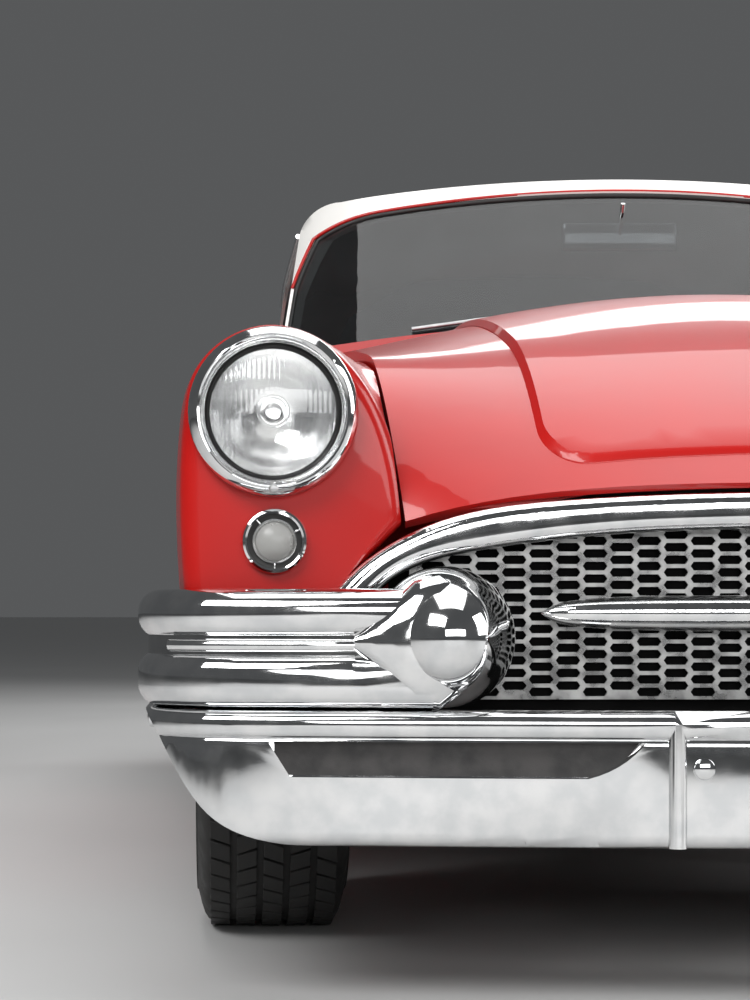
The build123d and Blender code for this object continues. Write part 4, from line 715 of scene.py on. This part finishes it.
# Rear end: guards on the bumper, a lid handle with its lock, and a blank plate in a thin frame
guard = {"x": 0.620, "z": 0.446, "stretch": 1.45,
         "dome": ((44, -12), (44, 4), (41, 13), (32, 21), (18, 27), (0, 29))}
rearFace = surfaceOf("rear_bumper")
for side, sign in sides.items():
    foot = rearSpot(rearFace, sign * guard["x"], guard["z"])
    work = bmesh.new()
    turn(work, guard["dome"], foot, (0, 1, 0), 48)
    bmesh.ops.scale(work, vec=(1, 1, guard["stretch"]), space=Matrix.Translation(-foot), verts=work.verts)
    put("rearGuard." + side, shapeMesh(work, "rearGuard"), "chrome")
lidPull = {"z": 0.712, "radius": 0.007, "lockZ": 0.757, "lock": ((13, -3), (13, 3), (10, 5), (4, 5.5), (0, 4)),
           "bow": ((-0.075, -0.004), (-0.0675, 0.022), (0.0, 0.0253), (0.0675, 0.022), (0.075, -0.004))}
lidFace = surfaceOf("trunk_lid")
points = [rearSpot(lidFace, x, lidPull["z"], lift) for x, lift in lidPull["bow"]]
work = bmesh.new()
turn(work, lidPull["lock"], rearSpot(lidFace, 0, lidPull["lockZ"]), (0, 1, 0), 32)
put("lidHandle", merged(tubeMesh("lidHandle", points, lidPull["radius"]), shapeMesh(work, "lidLock")),
    "chrome", "trunk_lid")
plate = {"half": 0.152, "low": 0.512, "high": 0.632, "face": 5101.6, "thick": 0.0016, "bevel": 0.0006, "frame": 0.003}
middle = (plate["low"] + plate["high"]) / 2
work = bmesh.new()
slab(work, (2 * plate["half"], plate["thick"], plate["high"] - plate["low"]),
     Matrix.Translation((0, station(plate["face"]), middle)), plate["bevel"])
put("blankPlate", shapeMesh(work, "blankPlate"), "whitePaint")
corners = [(side * plate["half"], station(plate["face"]), z)
           for side, z in ((-1, plate["low"]), (1, plate["low"]), (1, plate["high"]), (-1, plate["high"]))]
put("plateFrame", tubeMesh("plateFrame", corners, plate["frame"], True, False), "chrome")

# Slim spear on the hood's centre line
ornament = {"from": 470.0, "to": 760.0, "rise": 0.030, "posts": (0.35, 0.72),
            "profile": ((0, 0), (5, 10), (9, 40), (11, 90), (10, 160), (6, 240), (0, 290)),
            "post": ((11, -4), (6, 8), (5, 18), (6, 30))}
hoodTop = surfaceOf("hood")
tip, heel = [touch(hoodTop, (0, station(ornament[end]), outside["top"]), (0, 0, -1)) for end in ("from", "to")]
work = bmesh.new()
turn(work, ornament["profile"], tip + Vector((0, 0, ornament["rise"])), heel - tip, 32)
for place in ornament["posts"]:
    turn(work, ornament["post"], tip.lerp(heel, place), (0, 0, 1), 24)
put("hoodSpear", shapeMesh(work, "hoodSpear"), "chrome", "hood")

# Cabin fittings
mirror = {"z": 1.335, "size": (0.250, 0.016, 0.062), "behind": (0, 0.075, -0.01), "bevel": 0.007,
          "stem": ((0, 0, 0), (0, -0.03, 0.03), (0, -0.05, 0.065)), "radius": 0.005}
spot = frontSpot(surfaceOf("windshield"), 0, mirror["z"]) + Vector(mirror["behind"])
work = bmesh.new()
slab(work, mirror["size"], Matrix.Translation(spot), mirror["bevel"], 3)
stem = tubeMesh("mirrorStem", [spot + Vector(step) for step in mirror["stem"]], mirror["radius"])
put("rearMirror", merged(shapeMesh(work, "rearMirror"), stem), "chrome")
gauge = {"z": 0.850, "behind": 1.0, "places": ((0.275, 46), (0.370, 62), (0.465, 46)),
         "ring": ((1.0, -2), (1.0, 8), (0.94, 11), (0.86, 8), (0.84, 2)), "dial": ((0.85, 1.5), (0.8, 2.0), (0, 2.2))}
dash = surfaceOf("dashboard")
rings = []
for x, radius in gauge["places"]:
    spot = touch(dash, (x, gauge["behind"], gauge["z"]), (0, -1, 0))
    work = bmesh.new()
    turn(work, [(radius * r, f) for r, f in gauge["ring"]], spot, (0, 1, 0), 48)
    rings.append(shapeMesh(work, "gaugeRing"))
    work = bmesh.new()
    turn(work, [(radius * r, f) for r, f in gauge["dial"]], spot, (0, 1, 0), 48)
    put("gaugeDial.%d" % round(x * 1000), shapeMesh(work, "gaugeDial"), "sealRubber")
put("gaugeRings", merged(*rings), "chrome")
wheelRing = {"centre": (0.370, station(2260), 0.925), "axis": (0, 500, 270),
             "horn": ((120, -2), (118, 2), (120, 6), (124, 6), (126, 2), (124, -2), (120, -2)),
             "hub": ((34, 16), (34, 24), (28, 30), (0, 33))}
work = bmesh.new()
turn(work, wheelRing["horn"], wheelRing["centre"], wheelRing["axis"], 64)
turn(work, wheelRing["hub"], wheelRing["centre"], wheelRing["axis"], 48)
put("hornRing", shapeMesh(work, "hornRing"), "chrome", "steering_wheel")
print("stage: cabin")

# Bench cushions, swelled by a cloth run and then quilted
pads = {
    "frontCushion": {"node": "front_seat", "half": 0.672,
                     "outline": ((2285, 440), (2290, 545), (2320, 588), (2740, 566), (2752, 420))},
    "frontBack": {"node": "front_seat", "half": 0.672,
                  "outline": ((2780, 575), (2838, 985), (2908, 985), (2890, 560))},
    "rearCushion": {"node": "rear_seat", "half": 0.562,
                    "outline": ((3165, 480), (3170, 560), (3195, 612), (3545, 592), (3550, 545), (3395, 480))},
    "rearBack": {"node": "rear_seat", "half": 0.562,
                 "outline": ((3588, 605), (3700, 900), (3738, 900), (3728, 560))},
}
cloth = {"voxel": 0.012, "pressure": 4.0, "frames": 20, "cap": 0.024, "bevel": 0.022}
pleat = {"pitch": 0.112, "depth": 0.007, "width": 0.010, "rim": 0.05}


def padMesh(name, pad):
    work = bmesh.new()
    verts = [work.verts.new((-pad["half"], station(s), z / 1000)) for s, z in pad["outline"]]
    face = work.faces.new(verts)
    grown = bmesh.ops.extrude_face_region(work, geom=[face])
    moved = [v for v in grown["geom"] if isinstance(v, bmesh.types.BMVert)]
    bmesh.ops.translate(work, verts=moved, vec=(2 * pad["half"], 0, 0))
    bmesh.ops.recalc_face_normals(work, faces=work.faces)
    bmesh.ops.bevel(work, geom=list(work.edges), offset=cloth["bevel"], affect="EDGES", segments=3, profile=0.5,
                    material=-1)
    return shapeMesh(work, name, 60)


def swell(name, mesh):
    holder = bpy.data.objects.new(name, mesh)
    bpy.context.scene.collection.objects.link(holder)
    shell = holder.modifiers.new("shell", "REMESH")
    shell.mode = "VOXEL"
    shell.voxel_size = cloth["voxel"]
    graph = bpy.context.evaluated_depsgraph_get()
    start = bpy.data.meshes.new_from_object(holder.evaluated_get(graph))
    holder.modifiers.clear()
    holder.data = start
    run = holder.modifiers.new("cloth", "CLOTH")
    run.settings.use_pressure = True
    run.settings.uniform_pressure_force = cloth["pressure"]
    run.settings.effector_weights.gravity = 0.0
    run.point_cache.frame_start = 1
    run.point_cache.frame_end = cloth["frames"]
    for number in range(1, cloth["frames"] + 1):
        bpy.context.scene.frame_set(number)
    graph = bpy.context.evaluated_depsgraph_get()
    swelled = bpy.data.meshes.new_from_object(holder.evaluated_get(graph))
    for old, new in zip(start.vertices, swelled.vertices):
        step = new.co - old.co
        if step.length > cloth["cap"]:
            new.co = old.co + step * (cloth["cap"] / step.length)
    bpy.data.objects.remove(holder)
    bpy.context.scene.frame_set(1)
    return swelled


for name, pad in pads.items():
    mesh = swell(name, padMesh(name, pad))
    for vert in mesh.vertices:
        off = abs((vert.co.x / pleat["pitch"]) % 1.0 - 0.5) * pleat["pitch"]
        if abs(vert.co.x) < pad["half"] - pleat["rim"]:
            vert.co -= vert.normal * pleat["depth"] * math.exp(-(off / pleat["width"]) ** 2)
    mesh.shade_smooth()
    obj = put(name, mesh, "redLeather", "car_body", (pad["node"],))
    smooth = obj.modifiers.new("round", "SUBSURF")
    smooth.levels = 1
    smooth.render_levels = 1

# Plinths under the benches, clear of the tunnel
plinth = {"front": (2585.0, 0.375, (0.520, 0.520, 0.085)), "rear": (3290.0, 0.400, (0.410, 0.180, 0.130))}
plinthFit = {"tunnel": 0.13, "bevel": 0.012}
for name, (along, z, size) in plinth.items():
    for side, sign in sides.items():
        work = bmesh.new()
        where = Vector((sign * (plinthFit["tunnel"] + size[0] / 2), station(along), z))
        slab(work, size, Matrix.Translation(where), plinthFit["bevel"])
        put("seatPlinth.%s.%s" % (name, side), shapeMesh(work, "seatPlinth"), "carpet")
print("stage: seats")


# Studio
studio = {"floorHalf": 120.0, "floor": (0.58, 0.58, 0.575), "floorRise": 1.04, "air": (0.80, 0.82, 0.84, 1.0),
          "airStrength": 0.12}
lights = {"keyLight": ((-3.6, -6.6, 5.2), (0.0, -1.5, 0.6), (4.5, 3.0), 400.0),
          "topLight": ((0.0, -0.5, 5.5), (0.0, -0.5, 0.0), (4.0, 7.0), 210.0),
          "sideLight": ((5.5, -3.0, 3.0), (0.0, -1.0, 0.7), (3.0, 4.0), 170.0),
          "frontLight": ((1.2, -9.5, 2.4), (0.0, -2.0, 0.6), (7.0, 2.2), 200.0),
          "rearLight": ((2.5, 6.5, 4.0), (0.0, 1.5, 0.7), (5.0, 3.0), 200.0)}


def floorPiece():
    work = bmesh.new()
    bmesh.ops.create_grid(work, x_segments=2, y_segments=2, size=studio["floorHalf"])
    mesh = bpy.data.meshes.new("floor")
    work.to_mesh(mesh)
    work.free()
    obj = bpy.data.objects.new("floor", mesh)
    bpy.context.scene.collection.objects.link(obj)
    mesh.materials.append(finish("floorFinish", {
        "dark": studio["floor"], "light": tuple(c * studio["floorRise"] for c in studio["floor"]), "mottleScale": 0.6,
        "rough": (0.5, 0.62), "grainScale": 60.0, "grainStrength": 0.03}))


def areaLight(name, place, aim, size, power):
    light = bpy.data.lights.new(name, "AREA")
    light.shape = "RECTANGLE"
    light.size, light.size_y = size
    light.energy = power
    obj = bpy.data.objects.new(name, light)
    obj.location = place
    obj.rotation_euler = (Vector(aim) - Vector(place)).to_track_quat("-Z", "Y").to_euler()
    bpy.context.scene.collection.objects.link(obj)


floorPiece()
for name, setting in lights.items():
    areaLight(name, *setting)
world = bpy.data.worlds.new("studioAir")
world.use_nodes = True
air = world.node_tree.nodes["Background"].inputs
air["Color"].default_value = studio["air"]
air["Strength"].default_value = studio["airStrength"]
bpy.context.scene.world = world
bpy.context.scene.view_settings.view_transform = "Standard"

camera = {"place": (-0.850, -5.425, 0.520), "lens": 80.17, "shift": (0.147, 0.108), "sensor": 36.0, "tilt": 90.0}
cameraData = bpy.data.cameras.new("camera")
cameraData.lens = camera["lens"]
cameraData.sensor_width = camera["sensor"]
cameraData.shift_x, cameraData.shift_y = camera["shift"]
cameraData.dof.use_dof = False
cameraObject = bpy.data.objects.new("camera", cameraData)
cameraObject.location = camera["place"]
cameraObject.rotation_euler = (math.radians(camera["tilt"]), 0, 0)
bpy.context.scene.collection.objects.link(cameraObject)
bpy.context.scene.camera = cameraObject
print("stage: studio")
